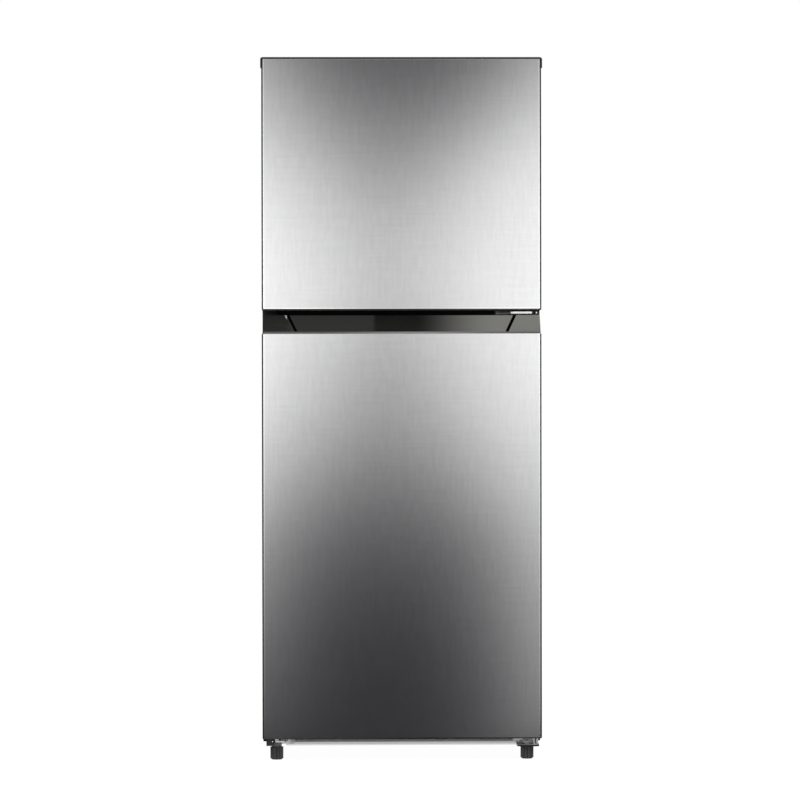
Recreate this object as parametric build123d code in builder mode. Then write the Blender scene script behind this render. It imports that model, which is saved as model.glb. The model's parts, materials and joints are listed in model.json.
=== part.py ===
from build123d import *
import os

os.makedirs("parts", exist_ok=True)

# Overall sizes, millimetres. X runs to the viewer's right, Y to the back, Z up from the floor.
door_width = 595.0
door_thickness = 55.0
floor_to_door = 48.0
fridge_door_height = 901.5
door_gap = 10.5
freezer_door_height = 537.0
gasket_gap = 12.0
door_overhang = 0.25
cabinet_depth = 571.0
rear_spacing = 12.0
cabinet_drop = 12.0
door_top_rise = 8.0

# Sheets, skins and walls
sheet = 1.0
skin = 0.7
rail_sheet = 1.2
bracket_sheet = 3.0
hinge_plate = 4.0
liner_wall = 1.5
flange_width = 30.0
cabinet_corner = 6.0
door_corner = 6.0
fridge_wall = 45.0
fridge_back_wall = 50.0
fridge_floor_wall = 50.0
freezer_wall = 55.0
freezer_back_wall = 60.0
freezer_top_wall = 60.0
mullion_height = 64.0
breaker_step = 4.0
liner_corner = 14.0
liner_back_corner = 8.0

# Clearances
running_fit = 0.05
seal_clearance = 0.3
slide_clearance = 0.5
hinge_clearance = 3.0

# Machine compartment at the lower back
machine_depth = 185.0
machine_height = 199.0
step_depth_wall = 48.0
step_top_wall = 45.0

# Hinges
hinge_inset = 14.5
hinge_setback = 39.0
pin_radius = 4.0
pin_engagement = 12.0
bush_radius = 8.0
bush_length = 14.0
boss_radius = 11.0

# Door furniture
cap_depth = 24.0
lip_thickness = 10.0
lip_line = 4.2
ear_height = 20.0
ear_drop = 2.0
ear_proud = 2.0
ear_depth = 24.0
handle_height = 39.5
handle_tuck = 24.0
handle_inset = 2.0
handle_slope = 25.0
dyke_depth = 40.0
dyke_width = 26.0
dyke_clearance = 12.0
dyke_draft = 4.0
gasket_inset = 16.0
gasket_width = 16.0
gasket_neck = 9.0
gasket_foot = 4.0
gasket_head = 4.0
mullion_seat = 8.0
top_seat = 6.0
base_seat = 4.0

# Derived limits
cabinet_width = door_width - 2 * door_overhang
handle_width = door_width - 2 * handle_inset
fridge_door_low = floor_to_door
cabinet_bottom = floor_to_door - cabinet_drop
fridge_floor = cabinet_bottom + fridge_floor_wall
machine_top = cabinet_bottom + machine_height
fridge_door_high = fridge_door_low + fridge_door_height
freezer_door_low = fridge_door_high + door_gap
freezer_door_high = freezer_door_low + freezer_door_height
gap_middle = fridge_door_high + door_gap / 2
cabinet_top = freezer_door_high - door_top_rise
cabinet_height = cabinet_top - cabinet_bottom
overall_depth = door_thickness + gasket_gap + cabinet_depth + rear_spacing
door_front = -overall_depth / 2
door_back = door_front + door_thickness
cabinet_front = door_back + gasket_gap
cabinet_back = cabinet_front + cabinet_depth
half_door = door_width / 2
half_cabinet = cabinet_width / 2
half_opening = half_cabinet - flange_width
half_fridge = half_cabinet - fridge_wall
half_freezer = half_cabinet - freezer_wall
hinge_x = half_door - hinge_inset
hinge_y = door_front + hinge_setback
mullion_low = gap_middle - mullion_height / 2
mullion_high = gap_middle + mullion_height / 2
fridge_ceiling = mullion_low - breaker_step
fridge_back = cabinet_back - fridge_back_wall
freezer_floor = mullion_high + breaker_step
freezer_ceiling = cabinet_top - freezer_top_wall
freezer_back = cabinet_back - freezer_back_wall
machine_front = cabinet_back - machine_depth
step_front = machine_front - step_depth_wall
step_top = machine_top + step_top_wall
cap_floor = cabinet_top - hinge_clearance
steel_top = fridge_door_high - handle_height
core_front = door_front + skin
half_core = half_door - skin


def front_plane(depth):
    """An upright plane at a depth, drawn as seen from the front."""
    return Plane.XZ.offset(-depth)


def side_plane(across):
    """An upright plane across the width, drawn with Y to the right and Z up."""
    return Plane.YZ.offset(across)


def level(height):
    """A level plane at a height above the floor."""
    return Plane.XY.offset(height)


def slab(x_span, y_span, z_span, mode=Mode.ADD):
    """Adds or cuts a plain block between pairs of limits."""
    middle = [(low + high) / 2 for low, high in (x_span, y_span, z_span)]
    sizes = [high - low for low, high in (x_span, y_span, z_span)]
    with Locations(tuple(middle)):
        Box(*sizes, mode=mode)


def both_ways(half):
    """The limits of something centred on the width."""
    return (-half, half)


def save(part, label):
    """Labels a finished piece and writes it."""
    part.label = label
    export_step(part, f"parts/{label}.step")


def fridge_space(grow, corner=0.0):
    """The hollow of the fresh food compartment, grown on every side but its open front."""
    with BuildPart() as space:
        with BuildSketch(Plane.YZ):
            with BuildLine():
                Polyline(
                    (cabinet_front, fridge_floor - grow),
                    (step_front + grow, fridge_floor - grow),
                    (step_front + grow, step_top - grow),
                    (fridge_back + grow, step_top - grow),
                    (fridge_back + grow, fridge_ceiling + grow),
                    (cabinet_front, fridge_ceiling + grow),
                    close=True,
                )
            make_face()
        extrude(amount=half_fridge + grow, both=True)
        if corner:
            fillet(space.edges().filter_by(Axis.Y), corner)
            fillet(space.faces().sort_by(Axis.Y)[-1].edges(), liner_back_corner)
    return space.part


def freezer_space(grow, corner=0.0):
    """The hollow of the freezer compartment, grown on every side but its open front."""
    with BuildPart() as space:
        slab(
            both_ways(half_freezer + grow),
            (cabinet_front, freezer_back + grow),
            (freezer_floor - grow, freezer_ceiling + grow),
        )
        if corner:
            fillet(space.edges().filter_by(Axis.Y), corner)
            fillet(space.faces().sort_by(Axis.Y)[-1].edges(), liner_back_corner)
    return space.part


# Painted steel wrap: two sides and a top, with a front flange that the gaskets seat on
with BuildPart() as cabinet_shell:
    with BuildSketch(front_plane(cabinet_front)) as wrap_outer:
        with Locations((0, cabinet_bottom)):
            Rectangle(cabinet_width, cabinet_height, align=(Align.CENTER, Align.MIN))
        fillet(wrap_outer.vertices().group_by(Axis.Y)[-1], cabinet_corner)
    extrude(amount=-cabinet_depth)
    with BuildSketch(front_plane(cabinet_front + sheet)) as wrap_inner:
        with Locations((0, cabinet_bottom)):
            Rectangle(
                cabinet_width - 2 * sheet, cabinet_height - sheet, align=(Align.CENTER, Align.MIN)
            )
        fillet(wrap_inner.vertices().group_by(Axis.Y)[-1], cabinet_corner - sheet)
    extrude(amount=-cabinet_depth, mode=Mode.SUBTRACT)
    slab(
        both_ways(half_opening),
        (cabinet_front, cabinet_front + sheet),
        (cabinet_bottom, cabinet_top - flange_width),
        Mode.SUBTRACT,
    )
save(cabinet_shell.part, "cabinet_shell")

# Foamed insulation that fills the wrap round both liners, stepped over the machine compartment
with BuildPart() as cabinet_insulation:
    with BuildSketch(front_plane(cabinet_front + liner_wall)) as foam_outer:
        with Locations((0, cabinet_bottom + sheet)):
            Rectangle(
                cabinet_width - 2 * sheet, cabinet_height - 2 * sheet, align=(Align.CENTER, Align.MIN)
            )
        fillet(foam_outer.vertices().group_by(Axis.Y)[-1], cabinet_corner)
    extrude(amount=-(cabinet_depth - liner_wall - sheet))
    slab(
        both_ways(half_cabinet),
        (machine_front - sheet, cabinet_back),
        (cabinet_bottom, machine_top + sheet),
        Mode.SUBTRACT,
    )
    add(fridge_space(liner_wall), mode=Mode.SUBTRACT)
    add(freezer_space(liner_wall), mode=Mode.SUBTRACT)
save(cabinet_insulation.part, "cabinet_insulation")

# Galvanised bottom pan, bent up and back over the machine compartment
with BuildPart() as bottom_pan:
    with BuildSketch(Plane.YZ):
        with BuildLine():
            Polyline(
                (cabinet_front + liner_wall, cabinet_bottom),
                (machine_front, cabinet_bottom),
                (machine_front, machine_top),
                (cabinet_back, machine_top),
                (cabinet_back, machine_top + sheet),
                (machine_front - sheet, machine_top + sheet),
                (machine_front - sheet, cabinet_bottom + sheet),
                (cabinet_front + liner_wall, cabinet_bottom + sheet),
                close=True,
            )
        make_face()
    extrude(amount=half_cabinet - sheet, both=True)
save(bottom_pan.part, "bottom_pan")

# Back panel with pressed beads
bead_width = 40.0
bead_proud = 3.0
bead_margin = 90.0
bead_pitch = cabinet_width / 4
bead_taper = 20.0
panel_low = machine_top + sheet
panel_high = cabinet_top - sheet - cabinet_corner
with BuildPart() as back_panel:
    slab(both_ways(half_cabinet - sheet), (cabinet_back - sheet, cabinet_back), (panel_low, panel_high))
    with BuildSketch(front_plane(cabinet_back)):
        for place in (-bead_pitch, 0, bead_pitch):
            with Locations((place, (panel_low + panel_high) / 2)):
                RectangleRounded(bead_width, panel_high - panel_low - 2 * bead_margin, bead_width / 3)
    extrude(amount=-bead_proud, taper=bead_taper)
save(back_panel.part, "back_panel")

# Wall spacers clipped to the back panel
spacer_inset = 70.0
spacer_drop = 158.0
spacer_x = half_cabinet - spacer_inset
spacer_z = cabinet_top - spacer_drop
spacer_radius = 18.0
spacer_tip = 11.0
with BuildPart() as rear_spacers:
    for place in (-spacer_x, spacer_x):
        with BuildSketch(front_plane(cabinet_back)):
            with Locations((place, spacer_z)):
                Circle(spacer_radius)
        with BuildSketch(front_plane(cabinet_back + rear_spacing)):
            with Locations((place, spacer_z)):
                Circle(spacer_tip)
        loft()
save(rear_spacers.part, "rear_spacers")

# Strip across the front between the two compartments
with BuildPart() as mullion_rail:
    slab(both_ways(half_opening), (cabinet_front, cabinet_front + liner_wall), (mullion_low, mullion_high))
save(mullion_rail.part, "mullion_rail")

# Base rail: seats the lower gasket and hangs below the door as a light skirt between the feet
rail_rise = 34.0
skirt_drop = 10.0
skirt_inset = 48.0
skirt_return = 22.0
skirt_bend = 8.0
rail_top = cabinet_bottom + rail_rise
skirt_low = cabinet_bottom - skirt_drop
skirt_half = half_cabinet - skirt_inset
rail_back = cabinet_front + rail_sheet
with BuildPart() as base_rail:
    slab(both_ways(half_opening), (cabinet_front, rail_back), (cabinet_bottom, rail_top))
    with BuildSketch(Plane.YZ) as skirt_section:
        with BuildLine():
            Polyline(
                (cabinet_front, cabinet_bottom),
                (cabinet_front, skirt_low),
                (cabinet_front + skirt_return, skirt_low),
                (cabinet_front + skirt_return, skirt_low + rail_sheet),
                (rail_back, skirt_low + rail_sheet),
                (rail_back, cabinet_bottom),
                close=True,
            )
        make_face()
        fillet(skirt_section.vertices().group_by(Axis.Y)[1].sort_by(Axis.X)[0], skirt_bend - rail_sheet)
        fillet(skirt_section.vertices().group_by(Axis.Y)[0].sort_by(Axis.X)[0], skirt_bend)
    extrude(amount=skirt_half, both=True)
save(base_rail.part, "base_rail")

# Fresh food liner with shelf ledges moulded on its side walls
ledge_width = 9.0
ledge_height = 7.0
ledge_back = 18.0
shelf_setback = 108.0
shelf_share = 0.32
cover_rise = 16.0
shelf_front = cabinet_front + shelf_setback
crisper_cover_low = step_top + cover_rise
shelf_pitch = shelf_share * (fridge_ceiling - crisper_cover_low)
lower_shelf = crisper_cover_low + shelf_pitch
upper_shelf = lower_shelf + shelf_pitch
spare_ledges = (lower_shelf + shelf_pitch / 2, upper_shelf + shelf_pitch / 2)
shelf_levels = (upper_shelf, lower_shelf, crisper_cover_low) + spare_ledges
with BuildPart() as fridge_liner:
    add(fridge_space(liner_wall))
    slab(
        both_ways(half_opening),
        (cabinet_front, cabinet_front + liner_wall),
        (rail_top, mullion_low),
    )
    add(fridge_space(0.0, liner_corner), mode=Mode.SUBTRACT)
    for height in shelf_levels:
        for side in (-1, 1):
            edges = sorted((side * (half_fridge + liner_wall / 2), side * (half_fridge - ledge_width)))
            slab(edges, (shelf_front, fridge_back - ledge_back), (height - ledge_height, height))
save(fridge_liner.part, "fridge_liner")

# Freezer liner with one pair of ledges for the wire shelf
freezer_shelf_level = (freezer_floor + freezer_ceiling) / 2
cover_depth = 78.0
cover_front = freezer_back - cover_depth
with BuildPart() as freezer_liner:
    add(freezer_space(liner_wall))
    slab(
        both_ways(half_opening),
        (cabinet_front, cabinet_front + liner_wall),
        (mullion_high, cabinet_top - flange_width),
    )
    add(freezer_space(0.0, liner_corner), mode=Mode.SUBTRACT)
    for side in (-1, 1):
        edges = sorted((side * (half_freezer + liner_wall / 2), side * (half_freezer - ledge_width)))
        slab(edges, (shelf_front, cover_front), (freezer_shelf_level - ledge_height, freezer_shelf_level))
save(freezer_liner.part, "freezer_liner")

# Lower hinge bracket on the right: plate, sloped flange, welded nut for the foot and door pin
bracket_inner = 37.0
bracket_outer = 10.0
lower_plate_drop = 20.0
lower_plate_reach = 14.0
bracket_left = hinge_x - bracket_inner
bracket_right = hinge_x + bracket_outer
lower_plate_low = fridge_door_low - lower_plate_drop
lower_plate_high = lower_plate_low + hinge_plate
lower_plate_front = hinge_y - lower_plate_reach
flange_slope_drop = 2.0
flange_slope_run = 32.0
lower_flange_rise = 10.0
flange_slope_low = cabinet_bottom - flange_slope_drop
lower_flange_high = cabinet_bottom + lower_flange_rise
plate_corner = 8.0
foot_inset = 29.25
foot_reach = 16.0
foot_x = half_cabinet - foot_inset
foot_y = cabinet_front - foot_reach
stud_radius = 4.0
nut_radius = 7.5
nut_height = 6.0
with BuildPart() as lower_hinge:
    with BuildSketch(level(lower_plate_low)) as plate_outline:
        with Locations(((bracket_left + bracket_right) / 2, (lower_plate_front + cabinet_front) / 2)):
            Rectangle(bracket_right - bracket_left, cabinet_front - lower_plate_front)
        fillet(plate_outline.vertices().group_by(Axis.Y)[0], plate_corner)
    extrude(amount=hinge_plate)
    with BuildSketch(front_plane(cabinet_front)):
        with BuildLine():
            Polyline(
                (bracket_left, lower_plate_low),
                (bracket_left, flange_slope_low),
                (bracket_left + flange_slope_run, lower_flange_high),
                (bracket_right, lower_flange_high),
                (bracket_right, lower_plate_low),
                close=True,
            )
        make_face()
    extrude(amount=bracket_sheet)
    with BuildSketch(level(lower_plate_high)):
        with Locations((foot_x, foot_y)):
            RegularPolygon(nut_radius, 6)
    extrude(amount=nut_height)
    with BuildSketch(level(lower_plate_high)):
        with Locations((hinge_x, hinge_y)):
            Circle(pin_radius)
    extrude(amount=fridge_door_low + pin_engagement - lower_plate_high)
    with BuildSketch(level(lower_plate_low)):
        with Locations((foot_x, foot_y)):
            Circle(stud_radius + running_fit)
    extrude(amount=hinge_plate + nut_height, mode=Mode.SUBTRACT)
save(lower_hinge.part, "lower_hinge")

# Left foot bracket: zinc angle with a rounded end, no hinge pin
left_plate_reach = 12.0
left_plate_inner = 23.0
left_plate_outer = 8.0
left_flange_inner = 38.0
left_flange_rise = 10.0
left_flange_drop = 5.0
left_plate_rise = 1.0
left_plate_low = cabinet_bottom + left_plate_rise
left_flange_low = cabinet_bottom - left_flange_drop
left_flange_high = cabinet_bottom + left_flange_rise
left_flange_end = foot_x - left_flange_inner
left_plate_side = foot_x + left_plate_outer
left_plate_end = foot_x - left_plate_inner
left_plate_front = foot_y - left_plate_reach
with BuildPart() as left_foot_bracket:
    with BuildSketch(front_plane(cabinet_front)) as angle_face:
        with Locations((-(left_plate_side + left_flange_end) / 2, (left_flange_low + left_flange_high) / 2)):
            Rectangle(left_plate_side - left_flange_end, left_flange_high - left_flange_low)
        fillet(angle_face.vertices().group_by(Axis.X)[-1], (left_flange_high - left_flange_low) / 3)
    extrude(amount=bracket_sheet)
    with BuildSketch(level(left_plate_low)) as angle_plate:
        with Locations((-(left_plate_side + left_plate_end) / 2, (left_plate_front + cabinet_front) / 2)):
            Rectangle(left_plate_side - left_plate_end, cabinet_front - left_plate_front)
        fillet(angle_plate.vertices().group_by(Axis.Y)[0], plate_corner)
    extrude(amount=bracket_sheet)
    with BuildSketch(level(left_plate_low)):
        with Locations((-foot_x, foot_y)):
            RegularPolygon(nut_radius, 6)
    extrude(amount=bracket_sheet + nut_height)
    with BuildSketch(level(left_plate_low)):
        with Locations((-foot_x, foot_y)):
            Circle(stud_radius + running_fit)
    extrude(amount=bracket_sheet + nut_height, mode=Mode.SUBTRACT)
save(left_foot_bracket.part, "left_foot_bracket")

# Middle hinge: zinc plate in the gap between the doors, with a pin up and a pin down
middle_root = 83.0
middle_neck = 48.0
middle_left = hinge_x - middle_root
middle_front_left = hinge_x - middle_neck
middle_right = hinge_x + boss_radius
middle_flange_half = 12.0
middle_low = gap_middle - hinge_plate / 2
middle_high = gap_middle + hinge_plate / 2
middle_corner = 9.0
with BuildPart() as middle_hinge:
    with BuildSketch(level(middle_low)) as middle_outline:
        with BuildLine():
            Polyline(
                (middle_left, cabinet_front),
                (middle_front_left, hinge_y - boss_radius),
                (middle_right, hinge_y - boss_radius),
                (middle_right, cabinet_front),
                close=True,
            )
        make_face()
        fillet(middle_outline.vertices().group_by(Axis.Y)[0], middle_corner)
    extrude(amount=hinge_plate)
    slab(
        (middle_left, middle_right),
        (cabinet_front - bracket_sheet, cabinet_front),
        (gap_middle - middle_flange_half, gap_middle + middle_flange_half),
    )
    with BuildSketch(level(fridge_door_high - pin_engagement)):
        with Locations((hinge_x, hinge_y)):
            Circle(pin_radius)
    extrude(amount=door_gap + 2 * pin_engagement)
save(middle_hinge.part, "middle_hinge")

# Top hinge: plate bolted on the cabinet top, reaching forward and outward to the pin
top_base_near = 30.0
top_base_far = 75.0
top_base_setback = 20.0
top_base_length = 42.0
top_base_front = cabinet_front + top_base_setback
top_base_back = top_base_front + top_base_length
top_base_radius = 10.0
top_plate = bracket_sheet
with BuildPart() as top_hinge:
    with BuildSketch(level(cabinet_top)):
        with Locations((hinge_x, hinge_y)):
            Circle(boss_radius)
        for across in (top_base_near, top_base_far):
            for along in (top_base_front, top_base_back):
                with Locations((hinge_x - across, along)):
                    Circle(top_base_radius)
        make_hull()
    extrude(amount=top_plate)
    with BuildSketch(level(cap_floor - pin_engagement)):
        with Locations((hinge_x, hinge_y)):
            Circle(pin_radius)
    extrude(amount=pin_engagement + hinge_clearance)
save(top_hinge.part, "top_hinge")

# Hexagon bolts of the hinges and brackets: heads on round collars
bolt_radius = 3.8
bolt_collar = 4.5
collar_height = 1.0
bolt_height = 3.0
top_bolts = [(hinge_x - across, top_base_back) for across in (top_base_near, top_base_far)]
middle_bolt_z = gap_middle + hinge_plate / 2 + bolt_collar + slide_clearance
bolt_far = 68.0
bolt_near = 31.0
bolt_edge = 8.0
lower_bolt_inset = 26.0
front_bolts = [(hinge_x - reach, middle_bolt_z) for reach in (bolt_far, bolt_near)]
lower_bolts = (bracket_left + lower_bolt_inset, bracket_right - bolt_edge)
lower_bolt_z = lower_plate_high + bolt_collar + slide_clearance
front_bolts += [(place, lower_bolt_z) for place in lower_bolts]
front_bolts += [(-left_flange_end - bolt_edge, (left_flange_low + left_flange_high) / 2)]
with BuildPart() as hinge_bolts:
    for place in top_bolts:
        with BuildSketch(level(cabinet_top + top_plate)):
            with Locations(place):
                Circle(bolt_collar)
        extrude(amount=collar_height)
        with BuildSketch(level(cabinet_top + top_plate + collar_height)):
            with Locations(place):
                RegularPolygon(bolt_radius, 6)
        extrude(amount=bolt_height)
    for place in front_bolts:
        with BuildSketch(front_plane(cabinet_front - bracket_sheet)):
            with Locations(place):
                Circle(bolt_collar)
        extrude(amount=collar_height)
        with BuildSketch(front_plane(cabinet_front - bracket_sheet - collar_height)):
            with Locations(place):
                RegularPolygon(bolt_radius, 6)
        extrude(amount=bolt_height)
save(hinge_bolts.part, "hinge_bolts")

# Cover over the top hinge, open below and notched at the front for the hinge arm
hinge_cover_wall = 2.0
hinge_cover_height = 13.0
hinge_cover_far = 98.0
hinge_cover_near = 12.0
hinge_cover_margin = 20.0
hinge_cover_setback = 6.0
hinge_cover_left = hinge_x - hinge_cover_far
hinge_cover_right = hinge_x - hinge_cover_near
hinge_cover_front = cabinet_front + hinge_cover_setback
hinge_cover_back = top_base_back + hinge_cover_margin
hinge_cover_taper = 10.0
hinge_notch = 46.0
with BuildPart() as top_hinge_cover:
    with BuildSketch(level(cabinet_top)) as cover_base:
        with Locations(
            ((hinge_cover_left + hinge_cover_right) / 2, (hinge_cover_front + hinge_cover_back) / 2)
        ):
            RectangleRounded(
                hinge_cover_right - hinge_cover_left, hinge_cover_back - hinge_cover_front, plate_corner
            )
    extrude(amount=hinge_cover_height, taper=hinge_cover_taper)
    offset(amount=-hinge_cover_wall, openings=top_hinge_cover.faces().sort_by(Axis.Z)[0])
    slab(
        (hinge_cover_left + plate_corner, hinge_cover_right + hinge_cover_wall),
        (hinge_cover_front - hinge_cover_wall, hinge_cover_front + hinge_notch),
        (cabinet_top, cabinet_top + top_plate + seal_clearance),
        Mode.SUBTRACT,
    )
save(top_hinge_cover.part, "top_hinge_cover")

# Levelling feet: ribbed turning knob, neck and stud
foot_radius = 14.0
foot_pad_radius = 11.5
foot_pad = 2.0
foot_neck = 1.5
foot_knob_high = lower_plate_low - foot_neck
foot_neck_radius = 10.5
foot_ribs = 12
foot_groove = 2.0
foot_shoulder_gap = 1.0


def levelling_foot(across, plate_low):
    """One levelling foot under the plate that its stud screws into."""
    neck_high = plate_low - foot_shoulder_gap
    with BuildPart() as foot:
        with BuildSketch(level(0)):
            with Locations((across, foot_y)):
                Circle(foot_pad_radius)
        extrude(amount=foot_pad)
        with BuildSketch(level(foot_pad)):
            with Locations((across, foot_y)):
                Circle(foot_radius)
                with PolarLocations(foot_radius, foot_ribs):
                    RegularPolygon(foot_groove, 4, mode=Mode.SUBTRACT)
        extrude(amount=foot_knob_high - foot_pad)
        with BuildSketch(level(foot_knob_high)):
            with Locations((across, foot_y)):
                Circle(foot_neck_radius)
        extrude(amount=neck_high - foot_knob_high)
        with BuildSketch(level(neck_high)):
            with Locations((across, foot_y)):
                Circle(stud_radius)
        extrude(amount=hinge_plate + nut_height)
    return foot.part


save(levelling_foot(-foot_x, left_plate_low), "front_foot_left")
save(levelling_foot(foot_x, lower_plate_low), "front_foot_right")

# Machine base: galvanised tray across the back, with ears for the rear rollers
base_lift = 2.0
base_sheet = 2.0
base_low = cabinet_bottom + base_lift
base_high = base_low + base_sheet
base_flange = 16.0
base_margin = 4.0
roller_inset = 63.0
roller_setback = 45.0
roller_x = half_cabinet - roller_inset
roller_y = cabinet_back - roller_setback
roller_radius = 15.0
roller_width = 16.0
roller_gap = 1.0
axle_radius = 4.0
axle_head = 6.5
axle_head_height = 2.0
ear_half = 12.0
ear_bottom = 6.0
ear_inner = roller_width / 2 + roller_gap
ear_outer = ear_inner + base_sheet
base_front = machine_front + base_margin
base_back = cabinet_back - base_margin
with BuildPart() as machine_base:
    slab(both_ways(half_cabinet - sheet), (base_front, base_back), (base_low, base_high))
    for flange in ((base_front, base_front + base_sheet), (base_back - base_sheet, base_back)):
        slab(both_ways(half_cabinet - sheet), flange, (base_high, base_high + base_flange))
    for middle in (-roller_x, roller_x):
        for span in ((-ear_outer, -ear_inner), (ear_inner, ear_outer)):
            slab(
                (middle + span[0], middle + span[1]),
                (roller_y - ear_half, roller_y + ear_half),
                (ear_bottom, base_low),
            )
        with BuildSketch(side_plane(middle - ear_outer)):
            with Locations((roller_y, roller_radius)):
                Circle(axle_radius + running_fit)
        extrude(amount=2 * ear_outer, mode=Mode.SUBTRACT)
save(machine_base.part, "machine_base")

# Axles of the rear rollers, headed outside the ears
with BuildPart() as roller_axles:
    for middle in (-roller_x, roller_x):
        with BuildSketch(side_plane(middle - ear_outer)):
            with Locations((roller_y, roller_radius)):
                Circle(axle_radius)
        extrude(amount=2 * ear_outer)
        for face, way in ((middle - ear_outer, -1), (middle + ear_outer, 1)):
            with BuildSketch(side_plane(face)):
                with Locations((roller_y, roller_radius)):
                    Circle(axle_head)
            extrude(amount=way * axle_head_height)
save(roller_axles.part, "roller_axles")

roller_crown = 1.5


def rear_roller(middle):
    """One rear roller with bevelled rims, bored to run on its axle."""
    with BuildPart() as roller:
        with BuildSketch(side_plane(middle - roller_width / 2)):
            with Locations((roller_y, roller_radius)):
                Circle(roller_radius)
        extrude(amount=roller_width)
        chamfer(roller.edges().filter_by(GeomType.CIRCLE), roller_crown)
        with BuildSketch(side_plane(middle - roller_width / 2)):
            with Locations((roller_y, roller_radius)):
                Circle(axle_radius + running_fit)
        extrude(amount=roller_width, mode=Mode.SUBTRACT)
    return roller.part


save(rear_roller(-roller_x), "rear_roller_left")
save(rear_roller(roller_x), "rear_roller_right")

# Compressor: pot pressed to a bevelled dome, with a weld flange, mounting plate, terminal pad and tube stubs
pot_x = -60.0
pot_setback = 92.0
pot_y = machine_front + pot_setback
pot_radius = 80.0
grommet_height = 12.0
mount_low = base_high + grommet_height
mount_sheet = 3.0
mount_half_x = 100.0
mount_half_y = 64.0
pot_pedestal = 5.0
pot_low = mount_low + mount_sheet + pot_pedestal
pot_height = 128.0
pot_top_bevel = 28.0
pot_dome_bevel = 10.0
pot_bottom_bevel = 18.0
seam_rise = 52.0
pot_high = pot_low + pot_height
seam_z = pot_low + seam_rise
seam_height = 5.0
seam_proud = 4.0
pad_proud = 4.0
pad_half = 26.0
pad_rise = 32.0
pad_height = 56.0
pad_out = pot_radius + pad_proud
pad_low = pot_low + pad_rise
pad_high = pad_low + pad_height
stub_radius = 6.0
stub_proud = 8.0
stub_out = pot_radius + stub_proud
suction_lift = 80.0
suction_z = pot_low + suction_lift
discharge_z = pad_low
discharge_shift = 36.0
discharge_y = pot_y - discharge_shift
with BuildPart() as compressor:
    with BuildSketch(level(pot_low)):
        with Locations((pot_x, pot_y)):
            Circle(pot_radius)
    extrude(amount=pot_high - pot_low)
    chamfer(compressor.edges().group_by(Axis.Z)[-1], pot_top_bevel)
    dome_edges = compressor.edges().filter_by(GeomType.CIRCLE).sort_by(Axis.Z)[-2:]
    chamfer(dome_edges, pot_dome_bevel)
    chamfer(compressor.edges().group_by(Axis.Z)[0], pot_bottom_bevel)
    with BuildSketch(level(seam_z)):
        with Locations((pot_x, pot_y)):
            Circle(pot_radius + seam_proud)
    extrude(amount=seam_height)
    with BuildSketch(level(mount_low)):
        with Locations((pot_x, pot_y)):
            RectangleRounded(2 * mount_half_x, 2 * mount_half_y, stub_radius * 2)
    extrude(amount=mount_sheet)
    with BuildSketch(level(mount_low + mount_sheet)):
        with Locations((pot_x, pot_y)):
            Circle(pot_radius - pot_bottom_bevel)
    extrude(amount=pot_pedestal)
    slab(
        (pot_x + pot_radius / 2, pot_x + pad_out), (pot_y - pad_half, pot_y + pad_half), (pad_low, pad_high)
    )
    for along, height in ((pot_y, suction_z), (discharge_y, discharge_z)):
        with BuildSketch(side_plane(pot_x - stub_out)):
            with Locations((along, height)):
                Circle(stub_radius)
        extrude(amount=stub_out / 2)
save(compressor.part, "compressor")

# Rubber grommets between the compressor plate and the machine base
grommet_radius = 12.0
grommet_waist = 8.5
grommet_inset = 16.0
grommet_layer = grommet_height / 3
with BuildPart() as compressor_grommets:
    for x_way in (-1, 1):
        for y_way in (-1, 1):
            spot = (
                pot_x + x_way * (mount_half_x - grommet_inset),
                pot_y + y_way * (mount_half_y - grommet_inset),
            )
            for layer, radius in enumerate((grommet_radius, grommet_waist, grommet_radius)):
                with BuildSketch(level(base_high + layer * grommet_layer)):
                    with Locations(spot):
                        Circle(radius)
                extrude(amount=grommet_layer)
save(compressor_grommets.part, "compressor_grommets")

# Terminal cover with the relay, and the blind gland where a supply lead would enter
terminal_depth = 34.0
terminal_round = 5.0
gland_radius = 5.0
gland_depth = 12.0
terminal_out = pot_x + pad_out + terminal_depth
with BuildPart() as terminal_cover:
    slab((pot_x + pad_out, terminal_out), (pot_y - pad_half, pot_y + pad_half), (pad_low, pad_high))
    fillet(terminal_cover.faces().sort_by(Axis.X)[-1].edges(), terminal_round)
    with BuildSketch(level(pad_low)):
        with Locations((terminal_out - terminal_depth / 2, pot_y)):
            Circle(gland_radius)
    extrude(amount=gland_depth, mode=Mode.SUBTRACT)
save(terminal_cover.part, "terminal_cover")

# Drip tray that rests on the compressor and catches the defrost water
tray_half_x = 104.0
tray_half_y = 72.0
tray_height = 26.0
tray_wall = 2.0
tray_round = 10.0
with BuildPart() as drip_tray:
    with BuildSketch(level(pot_high)):
        with Locations((pot_x, pot_y)):
            RectangleRounded(2 * tray_half_x, 2 * tray_half_y, tray_round)
    extrude(amount=tray_height)
    offset(amount=-tray_wall, openings=drip_tray.faces().sort_by(Axis.Z)[-1])
save(drip_tray.part, "drip_tray")

# Copper tubes: suction, discharge, and the filter drier with its capillary
tube_radius = 4.0
tube_bend = 10.0
tube_sides = 6
suction_out = 52.0
suction_rise = 60.0
discharge_out = 92.0
drier_x = 170.0
drier_setback = 62.0
drier_y = machine_front + drier_setback
drier_radius = 9.0
drier_length = 78.0
drier_drop = 39.0
drier_high = machine_top - drier_drop
drier_low = drier_high - drier_length
capillary_drop = 38.0
capillary_low = drier_low - capillary_drop
capillary_bend = 8.0
capillary_radius = 2.5


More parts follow.
